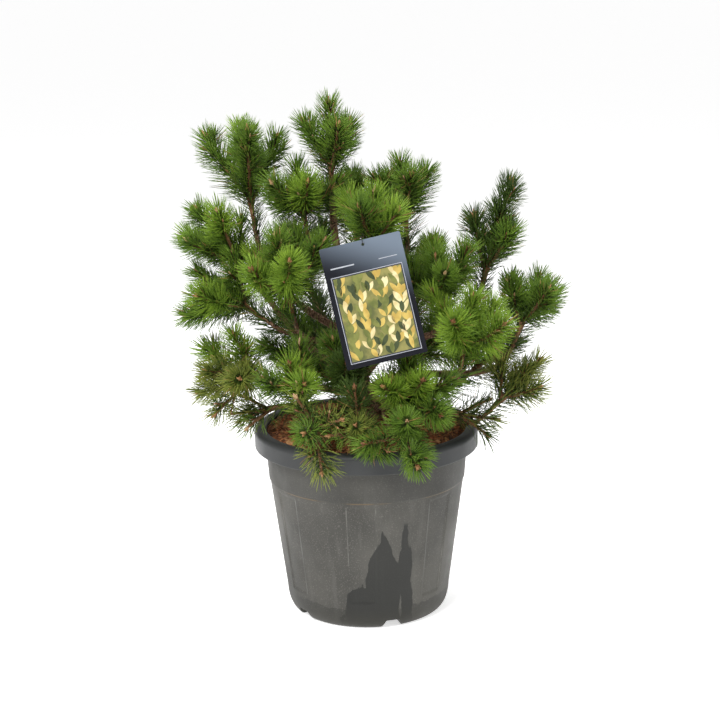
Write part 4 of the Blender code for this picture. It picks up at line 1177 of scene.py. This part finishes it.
def leaf_outline(foot, length, width, turn, count=9):
    """An almond shape that stands on its foot and leans by a turn."""
    t = np.linspace(0.0, 1.0, count)
    half = width / 2 * np.sin(math.pi * t) ** 0.8
    lean = math.radians(turn)
    across = np.concatenate([half, -half[-2:0:-1]])
    along = np.concatenate([t, t[-2:0:-1]]) * length
    x = foot[0] + across * math.cos(lean) + along * math.sin(lean)
    z = foot[1] - across * math.sin(lean) + along * math.cos(lean)
    edge = FRAME_INSIDE
    x = np.clip(x, FRAME_LEFT + edge, FRAME_RIGHT - edge)
    z = np.clip(z, FRAME_LOW + edge, FRAME_HIGH - edge)
    return list(zip(x, z))


def build_tag(card, line_surface, dark, ground, leaf_surfaces):
    half_width = TAG_WIDTH / 2 - TAG_CORNER
    half_height = TAG_HEIGHT / 2 - TAG_CORNER
    outline = []
    for turn, across, up in ((0, 1, 1), (90, -1, 1), (180, -1, -1), (270, 1, -1)):
        outline += arc((across * half_width, up * half_height), TAG_CORNER, turn, turn + 90, 7)
    front = -TAG_THICKNESS / 2
    corners, faces = card_prism(outline[::-1], front, -front)
    body = polygon_piece("card_body", corners, [face[::-1] for face in faces], card)
    aside, up = tag_hole()
    ends = np.array([(aside, -CUT_PAST, up), (aside, CUT_PAST, up)])
    hole, hole_faces = tube(ends, np.full(2, TAG_HOLE_RADIUS), 28)
    cut_away(body, [triangle_piece("hole", hole, hole_faces, [])])
    edge = body.modifiers.new("edge", "BEVEL")
    edge.width = 0.0002
    edge.segments = 2
    edge.limit_method = "ANGLE"
    apply_modifiers(body)
    placed_like_tag(body)

    strips = []
    outer = (FRAME_LEFT, FRAME_RIGHT, FRAME_LOW, FRAME_HIGH)
    for low, high in ((FRAME_LOW, FRAME_LOW + FRAME_LINE), (FRAME_HIGH - FRAME_LINE, FRAME_HIGH)):
        strips.append(rectangle(outer[0], outer[1], low, high))
    for left, right in ((FRAME_LEFT, FRAME_LEFT + FRAME_LINE), (FRAME_RIGHT - FRAME_LINE, FRAME_RIGHT)):
        strips.append(rectangle(left, right, FRAME_LOW + FRAME_LINE, FRAME_HIGH - FRAME_LINE))
    strips.append(rectangle(*LEFT_RULE))
    strips.append(rectangle(*RIGHT_RULE))
    layer(strips, "card_lines", line_surface, front)

    inner = rectangle(*(side + step for side, step in zip(outer, (FRAME_LINE, -FRAME_LINE) * 2)))
    layer([inner], "card_dark_line", dark, front)
    inside = FRAME_INSIDE
    field = rectangle(*(side + step for side, step in zip(outer, (inside, -inside) * 2)))
    layer([field], "card_picture", ground, front, 1)
    noise = random.Random(SEED + 9)
    tones = [[] for _ in leaf_surfaces]
    for row in reversed(range(LEAF_ROWS)):
        height = FRAME_LOW + inside + (FRAME_HIGH - FRAME_LOW - 2 * inside) * row / LEAF_ROWS
        fans = 4 + row % 2
        for fan in range(fans):
            foot_x = FRAME_LEFT + (FRAME_RIGHT - FRAME_LEFT) * (fan + 0.5) / fans + noise.uniform(-0.004, 0.004)
            for leaf in range(LEAVES_IN_FAN):
                turn = (leaf - (LEAVES_IN_FAN - 1) / 2) * LEAF_LEAN + noise.uniform(-7, 7)
                length = noise.uniform(0.017, 0.025)
                shape = leaf_outline((foot_x, height), length, noise.uniform(0.0070, 0.0100), turn)
                tones[noise.choice((0, 0, 1, 1, 2, 2, 2, 3))].append((shape, LEAF_ROWS - row))
    for number, (shapes, surface) in enumerate(zip(tones, leaf_surfaces)):
        corners = []
        faces = []
        for order, (shape, depth) in enumerate(shapes):
            proud = front - PRINT_PROUD * (2 + depth * 0.45) - 0.000004 * (order % 9 + number)
            more, these = card_prism(shape[::-1], proud, front + 0.0001)
            faces += [tuple(corner + len(corners) for corner in face[::-1]) for face in these]
            corners += more
        placed_like_tag(polygon_piece(f"card_leaves_{number + 1}", corners, faces, surface))


def layer(outlines, name, surface, front, depth=0):
    """Thin shapes a hair proud of the card."""
    corners = []
    faces = []
    for outline in outlines:
        more, these = card_prism(outline, front - PRINT_PROUD * (depth + 1) * 0.8, front + 0.0001)
        faces += [tuple(corner + len(corners) for corner in face) for face in these]
        corners += more
    return placed_like_tag(polygon_piece(name, corners, faces, surface))


# Shoots
class Room:
    """What stands round the masses: limbs, the pot and soil, and the label."""

    def __init__(self, limbs, tie):
        clouds = []
        for limb in limbs.values():
            share = np.linspace(0, 1, len(limb.points))
            places = evenly(limb.points, SAMPLE_STEP)
            radii = np.interp(np.linspace(0, 1, len(places)), share, limb.radii)
            clouds.append(np.column_stack([places, radii]))
        ties = evenly(np.concatenate([tie, tie[:1]]), SAMPLE_STEP)
        clouds.append(np.column_stack([ties, np.full(len(ties), TIE_RADIUS)]))
        self.limbs = np.concatenate(clouds)
        self.tag = np.array(tag_axes())

    def blocked(self, places, thickness, beside_limb):
        """For each place of this thickness, whether something is in its way."""
        low, high = places.min(axis=0) - 0.03, places.max(axis=0) + 0.03
        near = ((self.limbs[:, :3] > low) & (self.limbs[:, :3] < high)).all(axis=1)
        found = np.zeros(len(places), bool)
        if near.any():
            limbs = self.limbs[near]
            apart = np.linalg.norm(places[:, None] - limbs[None, :, :3], axis=2) - limbs[:, 3]
            found = apart.min(axis=1) < beside_limb + thickness
        reach = np.hypot(places[:, 0], places[:, 1])
        over_pot = reach < LIP_RADIUS + BESIDE_POT + thickness
        low_down = places[:, 2] < POT_HEIGHT + BESIDE_POT + thickness
        soil = (reach < ABOVE_SOIL_WITHIN) & (places[:, 2] < SOIL_TOP + BESIDE_POT + thickness)
        found |= (over_pot & low_down) | soil | (places[:, 2] < CROWN_BOTTOM)
        local = np.abs((places - np.array(TAG_AT)) @ self.tag.T)
        beside = BESIDE_TAG + thickness
        inside = (local[:, 0] < TAG_WIDTH / 2 + beside) & (local[:, 2] < TAG_HEIGHT / 2 + beside)
        return found | (inside & (local[:, 1] < beside))

    def clears(self, places, thickness):
        return not self.blocked(places, thickness, BESIDE_LIMB).any()


def with_bud(points):
    """A shoot's line, carried on to the point of its bud."""
    return np.concatenate([points, [points[-1] + unit(points[-1] - points[-2]) * BUD_LENGTH]])


def curved_shoot(start, way, length, lift):
    """A shoot that sets off one way and bends up as it grows."""
    end_way = unit(way + np.array([0.0, 0.0, lift]))
    t = np.linspace(0.0, 1.0, SHOOT_STEPS + 1)[:, None]
    return start + length * (way * t + (end_way - way) * t**2 / 2)


def mass_shoots(mass, noise, room, taken):
    """The stem with its top shoot, and the side shoots that find room, each shorter if it must be."""
    top = toward(mass.top_heading, mass.top_lean)
    whorl = at(mass.heading, mass.reach, mass.height)
    foot = whorl - top * STEM_LENGTH
    run = curved_shoot(whorl, top, mass.top_length - TIP_REACH, TOP_LIFT)
    points = np.concatenate([[foot, foot + top * STEM_LENGTH * STEM_BARE], run])
    stem_radii = [STEM_RADIUS, STEM_RADIUS, WHORL_RADIUS]
    top_radii = np.linspace(SHOOT_RADIUS, SHOOT_TIP_RADIUS, SHOOT_STEPS)
    shoots = [Shoot(mass.name, points, np.array([*stem_radii, *top_radii]))]
    for number in range(mass.sides):
        turn = mass.first + 360.0 / mass.sides * number + noise.uniform(-1, 1) * SIDE_TURN_SPREAD
        length = mass.top_length * mass.share * (1 + noise.uniform(-1, 1) * SIDE_LENGTH_SPREAD)
        start = whorl - top * WHORL_STAGGER * (number % WHORL_LEVELS)
        across = turned(outer_side(top, mass.heading), top, turn)
        way = turned(top, np.cross(top, across), mass.spread)
        for cut in SHOOT_CUTS:
            run = curved_shoot(start, way, length * cut, SHOOT_LIFT * top[2])
            places = evenly(with_bud(run)[2:], SAMPLE_STEP)
            if room.clears(places, SHOOT_RADIUS) and nearest(places, taken).min() > BESIDE_CORE:
                radii = np.linspace(SHOOT_RADIUS, SHOOT_TIP_RADIUS, SHOOT_STEPS + 1)
                shoots.append(Shoot(mass.name, run, radii))
                break
    return shoots


def grow_shoots(room):
    """Every mass's shoots, from one seed, each keeping off the ones before it."""
    noise = random.Random(SEED)
    tops = []
    for mass in MASSES:
        top = toward(mass.top_heading, mass.top_lean)
        whorl = at(mass.heading, mass.reach, mass.height)
        line = np.array([whorl - top * STEM_LENGTH, whorl + top * mass.top_length])
        tops.append(evenly(line, SAMPLE_STEP))
    taken = np.zeros((0, 3))
    shoots = []
    for number, mass in enumerate(MASSES):
        others = [line for other, line in enumerate(tops) if other != number]
        mine = mass_shoots(mass, noise, room, np.concatenate([*others, taken]))
        shoots += mine
        lines = [evenly(with_bud(shoot.points), SAMPLE_STEP) for shoot in mine[1:]]
        taken = np.concatenate([taken, *lines])
    return shoots


# Tones: sprays take a lighter tone where light falls on them and a deeper one inside, as painted light and painted
# shade, and olive low down
FRESH_LIT, GREEN, DEEP, OLIVE, DRY = range(5)
TONES_OF = {
    "right_low": (DEEP, DEEP, OLIVE),
    "far_right_upper": (DEEP, GREEN),
    "far_right_lower": (DEEP, GREEN, OLIVE),
    "right_tall": (GREEN, DEEP),
    "right_bright": (FRESH_LIT, FRESH_LIT, GREEN),
    "centre_left": (FRESH_LIT, FRESH_LIT, GREEN),
    "centre": (FRESH_LIT, GREEN),
    "front_low_left": (GREEN, OLIVE),
    "front_low_mid": (OLIVE, GREEN, DEEP),
    "front_right": (FRESH_LIT, GREEN),
    "front_low_right": (GREEN, FRESH_LIT, GREEN),
    "left_low": (GREEN, OLIVE, FRESH_LIT),
    "leader": (GREEN, GREEN, FRESH_LIT),
    "centre_left_low": (FRESH_LIT, GREEN),
    "outer_left": (FRESH_LIT, GREEN),
    "right_mid": (DEEP, OLIVE),
    "left_bottom": (OLIVE, GREEN),
    "behind_tag": (DEEP, GREEN),
}
OTHER_TONES = (GREEN, FRESH_LIT, GREEN, GREEN)
# The darker tone for each: that of older needles and old wood, and painted shade on the base of every needle
OLDER_AND_SHADED = (GREEN, DEEP, DEEP, DEEP, DRY)
OLD_SHARE = 0.30
DRY_SHARE = 0.02

# How full each mass is of needles, and how far down the older wood still carries some
FULLNESS = {
    "left_bottom": 0.36,
    "left_low": 0.95,
    "left_mid": 1.15,
    "centre_left_low": 0.70,
    "front_low_left": 0.42,
    "front_low_mid": 0.48,
    "front_low_right": 0.80,
    "right_low": 0.50,
    "far_right_lower": 0.80,
    "right_mid": 0.80,
}
THIN_SHOOTS = {
    ("front_low_left", 3): 0.35,
    ("front_low_left", 2): 0.55,
    ("front_low_mid", 2): 0.45,
    ("left_low", 1): 0.50,
    ("left_bottom", 3): 0.60,
}
BROKEN_OFF = {("front_low_left", 4)}
OLD_WOOD = {
    "leader": 0.120,
    "right_tall": 0.105,
    "upper_left": 0.080,
    "centre": 0.060,
    "outer_left": 0.170,
    "centre_left": 0.150,
    "left_mid": 0.150,
    "behind_tag": 0.080,
    "right_inner": 0.070,
    "right_mid": 0.070,
    "back_top": 0.090,
    "back_left": 0.130,
    "back_right": 0.130,
    "back_low_left": 0.120,
    "back_low_right": 0.120,
}
OTHER_OLD_WOOD = 0.045
OLD_WOOD_FULLNESS = 0.55


class Space:
    """Which mass each place belongs to: that of the nearest shoot."""

    def __init__(self, shoots):
        names = [mass.name for mass in MASSES]
        self.owners = []
        lines = []
        for shoot in shoots:
            line = evenly(with_bud(shoot.points), SAMPLE_STEP)
            lines.append(line)
            self.owners += [names.index(shoot.mass)] * len(line)
        self.number = {name: names.index(name) for name in names}
        self.tree = KDTree(len(self.owners))
        for index, place in enumerate(np.concatenate(lines)):
            self.tree.insert(place, index)
        self.tree.balance()

    def owned(self, places, mass):
        mine = self.number[mass]
        return np.array([self.owners[self.tree.find(place)[1]] == mine for place in places], bool)


def grow_twigs(shoots, room, space):
    """The shoots as twigs, and shorter, finer twigs along them where they find room."""
    noise = random.Random(SEED + 2)
    twigs = []
    for shoot in shoots:
        number = sum(twig.mass == shoot.mass and twig.main for twig in twigs)
        tones = TONES_OF.get(shoot.mass, OTHER_TONES)
        tone = noise.choice(tones)
        if (shoot.mass, number) in BROKEN_OFF:
            continue
        has_stem = len(shoot.points) > SHOOT_STEPS + 1
        points, radii = shoot.points, shoot.radii
        if has_stem:
            back = points[0] - unit(points[1] - points[0]) * INTO_BOUGH
            points = np.concatenate([[back], points])
            radii = np.concatenate([[radii[0]], radii])
        line, thick = smooth_line(points, radii, TWIG_STEP)
        length = np.linalg.norm(np.diff(line, axis=0), axis=1).sum()
        bare = INTO_BOUGH if has_stem else 0.006
        full = FULLNESS.get(shoot.mass, 1.0) * THIN_SHOOTS.get((shoot.mass, number), 1.0)
        twigs.append(Twig(shoot.mass, line, thick, bare / length, NEEDLE_LENGTH, tone, full, 1, True))
        ways, across, other = frames(line)
        turn = noise.uniform(0, 360)
        for place in FINE_PLACES:
            turn += SPIRAL_TURN
            here = min(int(place * len(line)), len(line) - 2)
            side = across[here] * math.cos(math.radians(turn)) + other[here] * math.sin(math.radians(turn))
            lean = math.radians(FINE_SPREAD + noise.uniform(-6, 6))
            way = unit(ways[here] * math.cos(lean) + side * math.sin(lean))
            size = FINE_LENGTH * noise.uniform(0.75, 1.15)
            run = curved_shoot(line[here], way, size, FINE_LIFT)
            ahead = evenly(with_bud(run)[2:], SAMPLE_STEP)
            beyond = np.dot(run[-1] - line[-1], ways[-1]) > BUD_LENGTH * (FINE_OUT - 1)
            if beyond or not room.clears(ahead, FINE_RADIUS) or not space.owned(ahead, shoot.mass).all():
                continue
            fine, fine_thick = smooth_line(run, np.linspace(FINE_RADIUS, FINE_RADIUS * 0.8, len(run)), TWIG_STEP)
            needle = NEEDLE_LENGTH * FINE_NEEDLES
            twigs.append(Twig(shoot.mass, fine, fine_thick, 0.12, needle, tone, full, 1, False))
    return twigs


def old_wood(limbs):
    """The last stretch of each limb, where some needles of earlier years are left."""
    found = []
    for mass in MASSES:
        limb = limbs["trunk" if mass is MASSES[0] else mass.name]
        line, thick = smooth_line(limb.points, limb.radii, TWIG_STEP)
        count = max(3, round(OLD_WOOD.get(mass.name, OTHER_OLD_WOOD) / TWIG_STEP))
        full = OLD_WOOD_FULLNESS * FULLNESS.get(mass.name, 1.0)
        tone = OLDER_AND_SHADED[TONES_OF.get(mass.name, OTHER_TONES)[0]]
        line, thick = line[-count:], thick[-count:]
        found.append(Twig(mass.name, line, thick, 0.0, NEEDLE_LENGTH, tone, full, 0, False))
    return found


def build_twigs(twigs, surface):
    parts = [tube(twig.points, twig.radii, TWIG_SIDES) for twig in twigs]
    corners, triangles = joined(parts)
    middles = np.concatenate([np.concatenate([np.repeat(t.points, TWIG_SIDES, 0), t.points[[0, -1]]]) for t in twigs])
    out = corners - middles
    corners += out * (0.16 * lumps(corners, 0.0030, 21))[:, None]
    nodes = ["needles_" + mass.name for mass in MASSES]
    return on_frame(triangle_piece("twig_wood", corners, triangles, [surface]), "bark", *nodes)


def spray(twig, noise, room, space):
    """The needles of one twig: each one's foot, first and last direction, length and tone."""
    steps = np.linalg.norm(np.diff(twig.points, axis=0), axis=1)
    reach = np.concatenate([[0.0], np.cumsum(steps)])
    start = twig.bare * reach[-1]
    count = max(6, int((reach[-1] - start) * PAIRS_PER_METRE * twig.fullness))
    share = ((np.arange(count) + 0.5) / count) ** CROWD_AT_TIP
    place = start + (reach[-1] - start) * share
    ways, across, other = frames(twig.points)
    at_place = [
        np.stack([np.interp(place, reach, values[:, axis]) for axis in range(3)], axis=1)
        for values in (twig.points, ways, across, other)
    ]
    points, ways, across, other = at_place
    radii = np.interp(place, reach, twig.radii)
    turn = np.arange(count) * SPIRAL_TURN + noise.uniform(0, 360) + noise.uniform(-1, 1, count) * TURN_JITTER
    forward = NEEDLE_FORWARD + (NEEDLE_FORWARD_AT_TIP - NEEDLE_FORWARD) * share**1.6
    shorter = 1 - TIP_SHORTER * share**2.2 * twig.young
    pairs = []
    for sign in (-1, 1):
        angle = np.radians(turn + sign * PAIR_TURN * noise.uniform(0.4, 1.2, count))[:, None]
        out = across * np.cos(angle) + other * np.sin(angle)
        tilt = forward + noise.uniform(-1, 1, count) * FORWARD_JITTER
        first = np.radians(tilt - NEEDLE_BEND / 2)[:, None]
        last = np.radians(tilt + NEEDLE_BEND / 2)[:, None]
        foot = points + out * (radii * 0.5)[:, None]
        length = twig.needle_length * shorter * (1 + noise.uniform(-1, 1, count) * NEEDLE_LENGTH_SPREAD)
        go = out * np.cos(first) + ways * np.sin(first)
        end = out * np.cos(last) + ways * np.sin(last)
        pairs.append((foot, go, end, length))
    foot, go, end, length = (np.concatenate(both) for both in zip(*pairs))
    kept = np.zeros(len(foot), bool)
    final = length.copy()
    for cut in NEEDLE_CUTS:
        open_ones = np.flatnonzero(~kept)
        if not len(open_ones):
            break
        size = length[open_ones] * cut
        runs = [needle_point(foot[open_ones], go[open_ones], end[open_ones], size, t) for t in (0.45, 0.75, 1.0)]
        free = space.owned(runs[-1], twig.mass)
        for run in runs:
            free &= ~room.blocked(run, NEEDLE_CLEARANCE, NEEDLE_BESIDE_LIMB)
        kept[open_ones[free]] = True
        final[open_ones[free]] = size[free]
    dealt = noise.uniform(0, 1, len(foot))
    tone = np.full(len(foot), twig.tone)
    old = np.tile(share < OLD_SHARE, 2) & (dealt < 0.6)
    tone[old] = OLDER_AND_SHADED[twig.tone]
    tone[dealt > 1 - DRY_SHARE] = DRY
    return foot[kept], go[kept], end[kept], final[kept], tone[kept]


def needle_point(foot, go, end, length, t):
    """The place at a share of the way along each needle."""
    return foot + length[:, None] * (go * t + (end - go) * t**2 / 2)


def needle_mesh(foot, go, end, length):
    """Every needle as rings of three corners and a point, and which of its triangles are its base."""
    side = units(np.cross(go, end) + 1e-9)
    top = units(np.cross(side, go))
    corners = []
    for t, size in NEEDLE_RINGS:
        middle = needle_point(foot, go, end, length, t)
        wide = side * NEEDLE_WIDTH * size
        high = top * NEEDLE_THICKNESS * size
        corners += [middle + wide - high * 0.5, middle - wide - high * 0.5, middle + high]
    corners.append(needle_point(foot, go, end, length, 1.0))
    corners = np.stack(corners, axis=1)
    each = corners.shape[1]
    pattern = [ring_faces(len(NEEDLE_RINGS), 3), [[0, 2, 1]]]
    last = (len(NEEDLE_RINGS) - 1) * 3
    pattern.append([[last + here, last + (here + 1) % 3, each - 1] for here in range(3)])
    pattern = np.concatenate(pattern)
    base = (pattern < 6).all(axis=1)
    triangles = (np.arange(len(foot)) * each)[:, None, None] + pattern[None]
    return corners.reshape(-1, 3), triangles.reshape(-1, 3), base


def build_sprays(twigs, room, space, surfaces):
    noise = np.random.default_rng(SEED + 3)
    total = 0
    for name, masses in SPRAYS.items():
        found = [spray(twig, noise, room, space) for twig in twigs if twig.mass in masses]
        foot, go, end, length, tone = (np.concatenate(values) for values in zip(*found))
        corners, triangles, base = needle_mesh(foot, go, end, length)
        # The base of every needle takes the darker tone: painted shade inside the sprays
        tones = np.where(base[None], np.array(OLDER_AND_SHADED)[tone][:, None], tone[:, None])
        piece = triangle_piece(name, corners, triangles, surfaces, tones.ravel())
        on_frame(piece, "needles", *("needles_" + mass for mass in masses))
        total += len(foot)
        print(name, len(foot), "needles", len(triangles), "triangles")
    print("needles in all", total)


def bud(foot, way, length, radius):
    """A pointed bud whose scales overlap in steps."""
    shares = np.array([share for share, _ in BUD_PROFILE])
    radii = np.array([size for _, size in BUD_PROFILE]) * radius
    points = foot + way * (shares * length)[:, None]
    corners = rings(points, radii, BUD_SIDES).reshape(-1, 3)
    last = (len(BUD_PROFILE) - 1) * BUD_SIDES
    corners = np.concatenate([corners, [foot, foot + way * length]])
    side = np.arange(BUD_SIDES)
    after = (side + 1) % BUD_SIDES
    start = np.stack([after, side, np.full(BUD_SIDES, last + BUD_SIDES)], axis=1)
    end = np.stack([last + side, last + after, np.full(BUD_SIDES, last + BUD_SIDES + 1)], axis=1)
    return corners, np.concatenate([ring_faces(len(BUD_PROFILE), BUD_SIDES), start, end])


def build_buds(twigs, surfaces):
    noise = random.Random(SEED + 4)
    parts = []
    tones = []
    for twig in twigs:
        fine = twig.needle_length < NEEDLE_LENGTH
        ways, across, other = frames(twig.points)
        way = ways[-1]
        size = 0.62 if fine else noise.uniform(0.85, 1.15) * TOP_BUDS.get(twig.mass, 1.0)
        tone = noise.choice((0, 0, 1, 2))
        foot = twig.points[-1] - way * 0.002
        parts.append(bud(foot, way, BUD_SIZE[0] * size, BUD_SIZE[1] * size))
        first = noise.uniform(0, 360)
        for number in range(0 if fine else noise.randint(1, SIDE_BUDS)):
            turn = math.radians(first + 360 / SIDE_BUDS * number)
            side = across[-1] * math.cos(turn) + other[-1] * math.sin(turn)
            lean = unit(way + side * 0.45)
            small = size * noise.uniform(0.55, 0.75)
            parts.append(bud(foot + side * 0.0012, lean, BUD_SIZE[0] * small, BUD_SIZE[1] * small))
        while len(tones) < sum(len(faces) for _, faces in parts):
            tones.append(tone)
    buds = triangle_piece("bud_tips", *joined(parts), surfaces, tones)
    return on_frame(buds, "bark", *("needles_" + mass.name for mass in MASSES))


# Studio
FLOOR_REACH = 60.0
FLOOR_GLOW = 0.62
SKY = 0.36
SKY_DIM_FROM = 0.30


def area_light(name, place, aim, size, power, colour=(1.0, 1.0, 1.0)):
    light = bpy.data.lights.new(name, "AREA")
    light.energy = power
    light.size = size
    light.color = colour
    lamp = bpy.data.objects.new(name, light)
    away = Matrix.Translation(place).to_translation() - Matrix.Translation(aim).to_translation()
    lamp.location = place
    lamp.rotation_euler = away.to_track_quat("Z", "Y").to_euler()
    bpy.context.scene.collection.objects.link(lamp)


def build_studio():
    paper = Surface("floor_paper", Roughness=0.9, Specular_IOR_Level=0.1, Emission_Strength=FLOOR_GLOW)
    paper.shader.inputs["Emission Color"].default_value = (1.0, 1.0, 1.0, 1.0)
    paper.colour(paper.mix(paper.noise(3.0), (0.93, 0.93, 0.93), (0.95, 0.95, 0.95)))
    corners = [(-FLOOR_REACH, -FLOOR_REACH, 0), (FLOOR_REACH, -FLOOR_REACH, 0)]
    corners += [(FLOOR_REACH, FLOOR_REACH, 0), (-FLOOR_REACH, FLOOR_REACH, 0)]
    polygon_piece("floor", corners, [(0, 1, 2, 3)], paper.made)
    world = bpy.data.worlds.new("studio")
    world.use_nodes = True
    nodes, links = world.node_tree.nodes, world.node_tree.links
    nodes["Background"].inputs["Color"].default_value = (1.0, 1.0, 1.0, 1.0)
    split = nodes.new("ShaderNodeSeparateXYZ")
    links.new(nodes.new("ShaderNodeTexCoord").outputs["Generated"], split.inputs["Vector"])
    fade = nodes.new("ShaderNodeMapRange")
    fade.inputs["From Max"].default_value = SKY_DIM_FROM
    fade.inputs["To Min"].default_value = 1.0
    fade.inputs["To Max"].default_value = SKY
    links.new(split.outputs["Z"], fade.inputs["Value"])
    links.new(fade.outputs["Result"], nodes["Background"].inputs["Strength"])
    scene = bpy.context.scene
    scene.world = world
    scene.view_settings.view_transform = "Standard"
    area_light("key", (-1.25, -2.15, 2.65), (0.0, 0.0, 0.5), 1.1, 95.0)
    area_light("fill", (1.8, -2.0, 1.4), (0.0, 0.0, 0.45), 1.4, 11.0)
    area_light("above", (0.3, 0.5, 3.2), (0.0, 0.0, 0.6), 1.2, 60.0)
    camera = bpy.data.cameras.new("camera")
    camera.lens = 82.5
    camera.sensor_width = 36.0
    holder = bpy.data.objects.new("camera", camera)
    turn = Matrix.Rotation(math.pi / 2 - 0.240, 4, "X") @ Matrix.Rotation(-0.015, 4, "Z")
    holder.matrix_world = Matrix.Translation((-0.0092, -2.82, 1.14)) @ turn
    scene.collection.objects.link(holder)
    scene.camera = holder


def main():
    limbs = grow_limbs()
    room = Room(limbs, tie_route(limbs, TIE_ROOM_RINGS))
    shoots = grow_shoots(room)
    space = Space(shoots)
    twigs = grow_twigs(shoots, room, space)

    build_pot(pot_surface())
    build_soil(soil_surface("soil_ground", (0.250, 0.100, 0.042), (0.075, 0.028, 0.013)))
    build_chips(
        [
            soil_surface("chip_red", (0.480, 0.178, 0.068), (0.258, 0.085, 0.036)),
            soil_surface("chip_brown", (0.324, 0.140, 0.063), (0.144, 0.060, 0.029)),
            soil_surface("chip_dark", (0.126, 0.058, 0.030), (0.048, 0.022, 0.014)),
            soil_surface("chip_tan", (0.520, 0.290, 0.130), (0.320, 0.155, 0.068)),
        ]
    )
    build_fibres(
        soil_surface("fibre_red", (0.510, 0.235, 0.098), (0.260, 0.100, 0.045)),
        soil_surface("needle_fallen", (0.360, 0.200, 0.085), (0.220, 0.110, 0.045)),
    )
    build_bark(limbs, bark_surface("bark_old", (0.250, 0.132, 0.073), (0.056, 0.028, 0.017), (0.370, 0.240, 0.148), 210.0))
    build_twigs(twigs, bark_surface("bark_young", (0.260, 0.130, 0.055), (0.085, 0.040, 0.018), (0.370, 0.215, 0.105), 420.0))
    build_sprays(
        twigs + old_wood(limbs),
        room,
        space,
        [
            # Fresh-lit and deep are lit and shaded copies of the green: painted light and painted shade; deep is also
            # the tone of older needles
            needle_surface("needle_fresh_lit", (0.226, 0.350, 0.034), (0.142, 0.245, 0.023)),
            needle_surface("needle_green", (0.142, 0.240, 0.025), (0.086, 0.160, 0.017)),
            needle_surface("needle_deep", (0.070, 0.120, 0.018), (0.039, 0.072, 0.012)),
            needle_surface("needle_olive", (0.232, 0.266, 0.046), (0.144, 0.182, 0.031)),
            needle_surface("needle_dry", (0.350, 0.220, 0.075), (0.240, 0.145, 0.050)),
        ],
    )
    build_buds(
        twigs,
        [
            bud_surface("bud_tan", (0.400, 0.215, 0.090), (0.240, 0.110, 0.045)),
            bud_surface("bud_brown", (0.270, 0.120, 0.048), (0.150, 0.064, 0.028)),
            bud_surface("bud_cream", (0.520, 0.360, 0.190), (0.320, 0.180, 0.080)),
        ],
    )
    build_tie(limbs, strap_surface())
    build_tag(
        card_surface(),
        print_surface("print_light", (0.400, 0.415, 0.450), (0.330, 0.345, 0.380)),
        print_surface("print_dark", (0.020, 0.021, 0.030), (0.030, 0.031, 0.042)),
        print_surface("print_ground", (0.240, 0.220, 0.070), (0.090, 0.100, 0.035), 38.0),
        [
            print_surface("print_yellow", (0.520, 0.380, 0.100), (0.380, 0.260, 0.060)),
            print_surface("print_cream", (0.660, 0.580, 0.330), (0.500, 0.400, 0.180)),
            print_surface("print_leaf", (0.180, 0.190, 0.050), (0.100, 0.115, 0.030)),
            print_surface("print_moss", (0.055, 0.070, 0.028), (0.030, 0.042, 0.018)),
        ],
    )
    build_studio()


main()
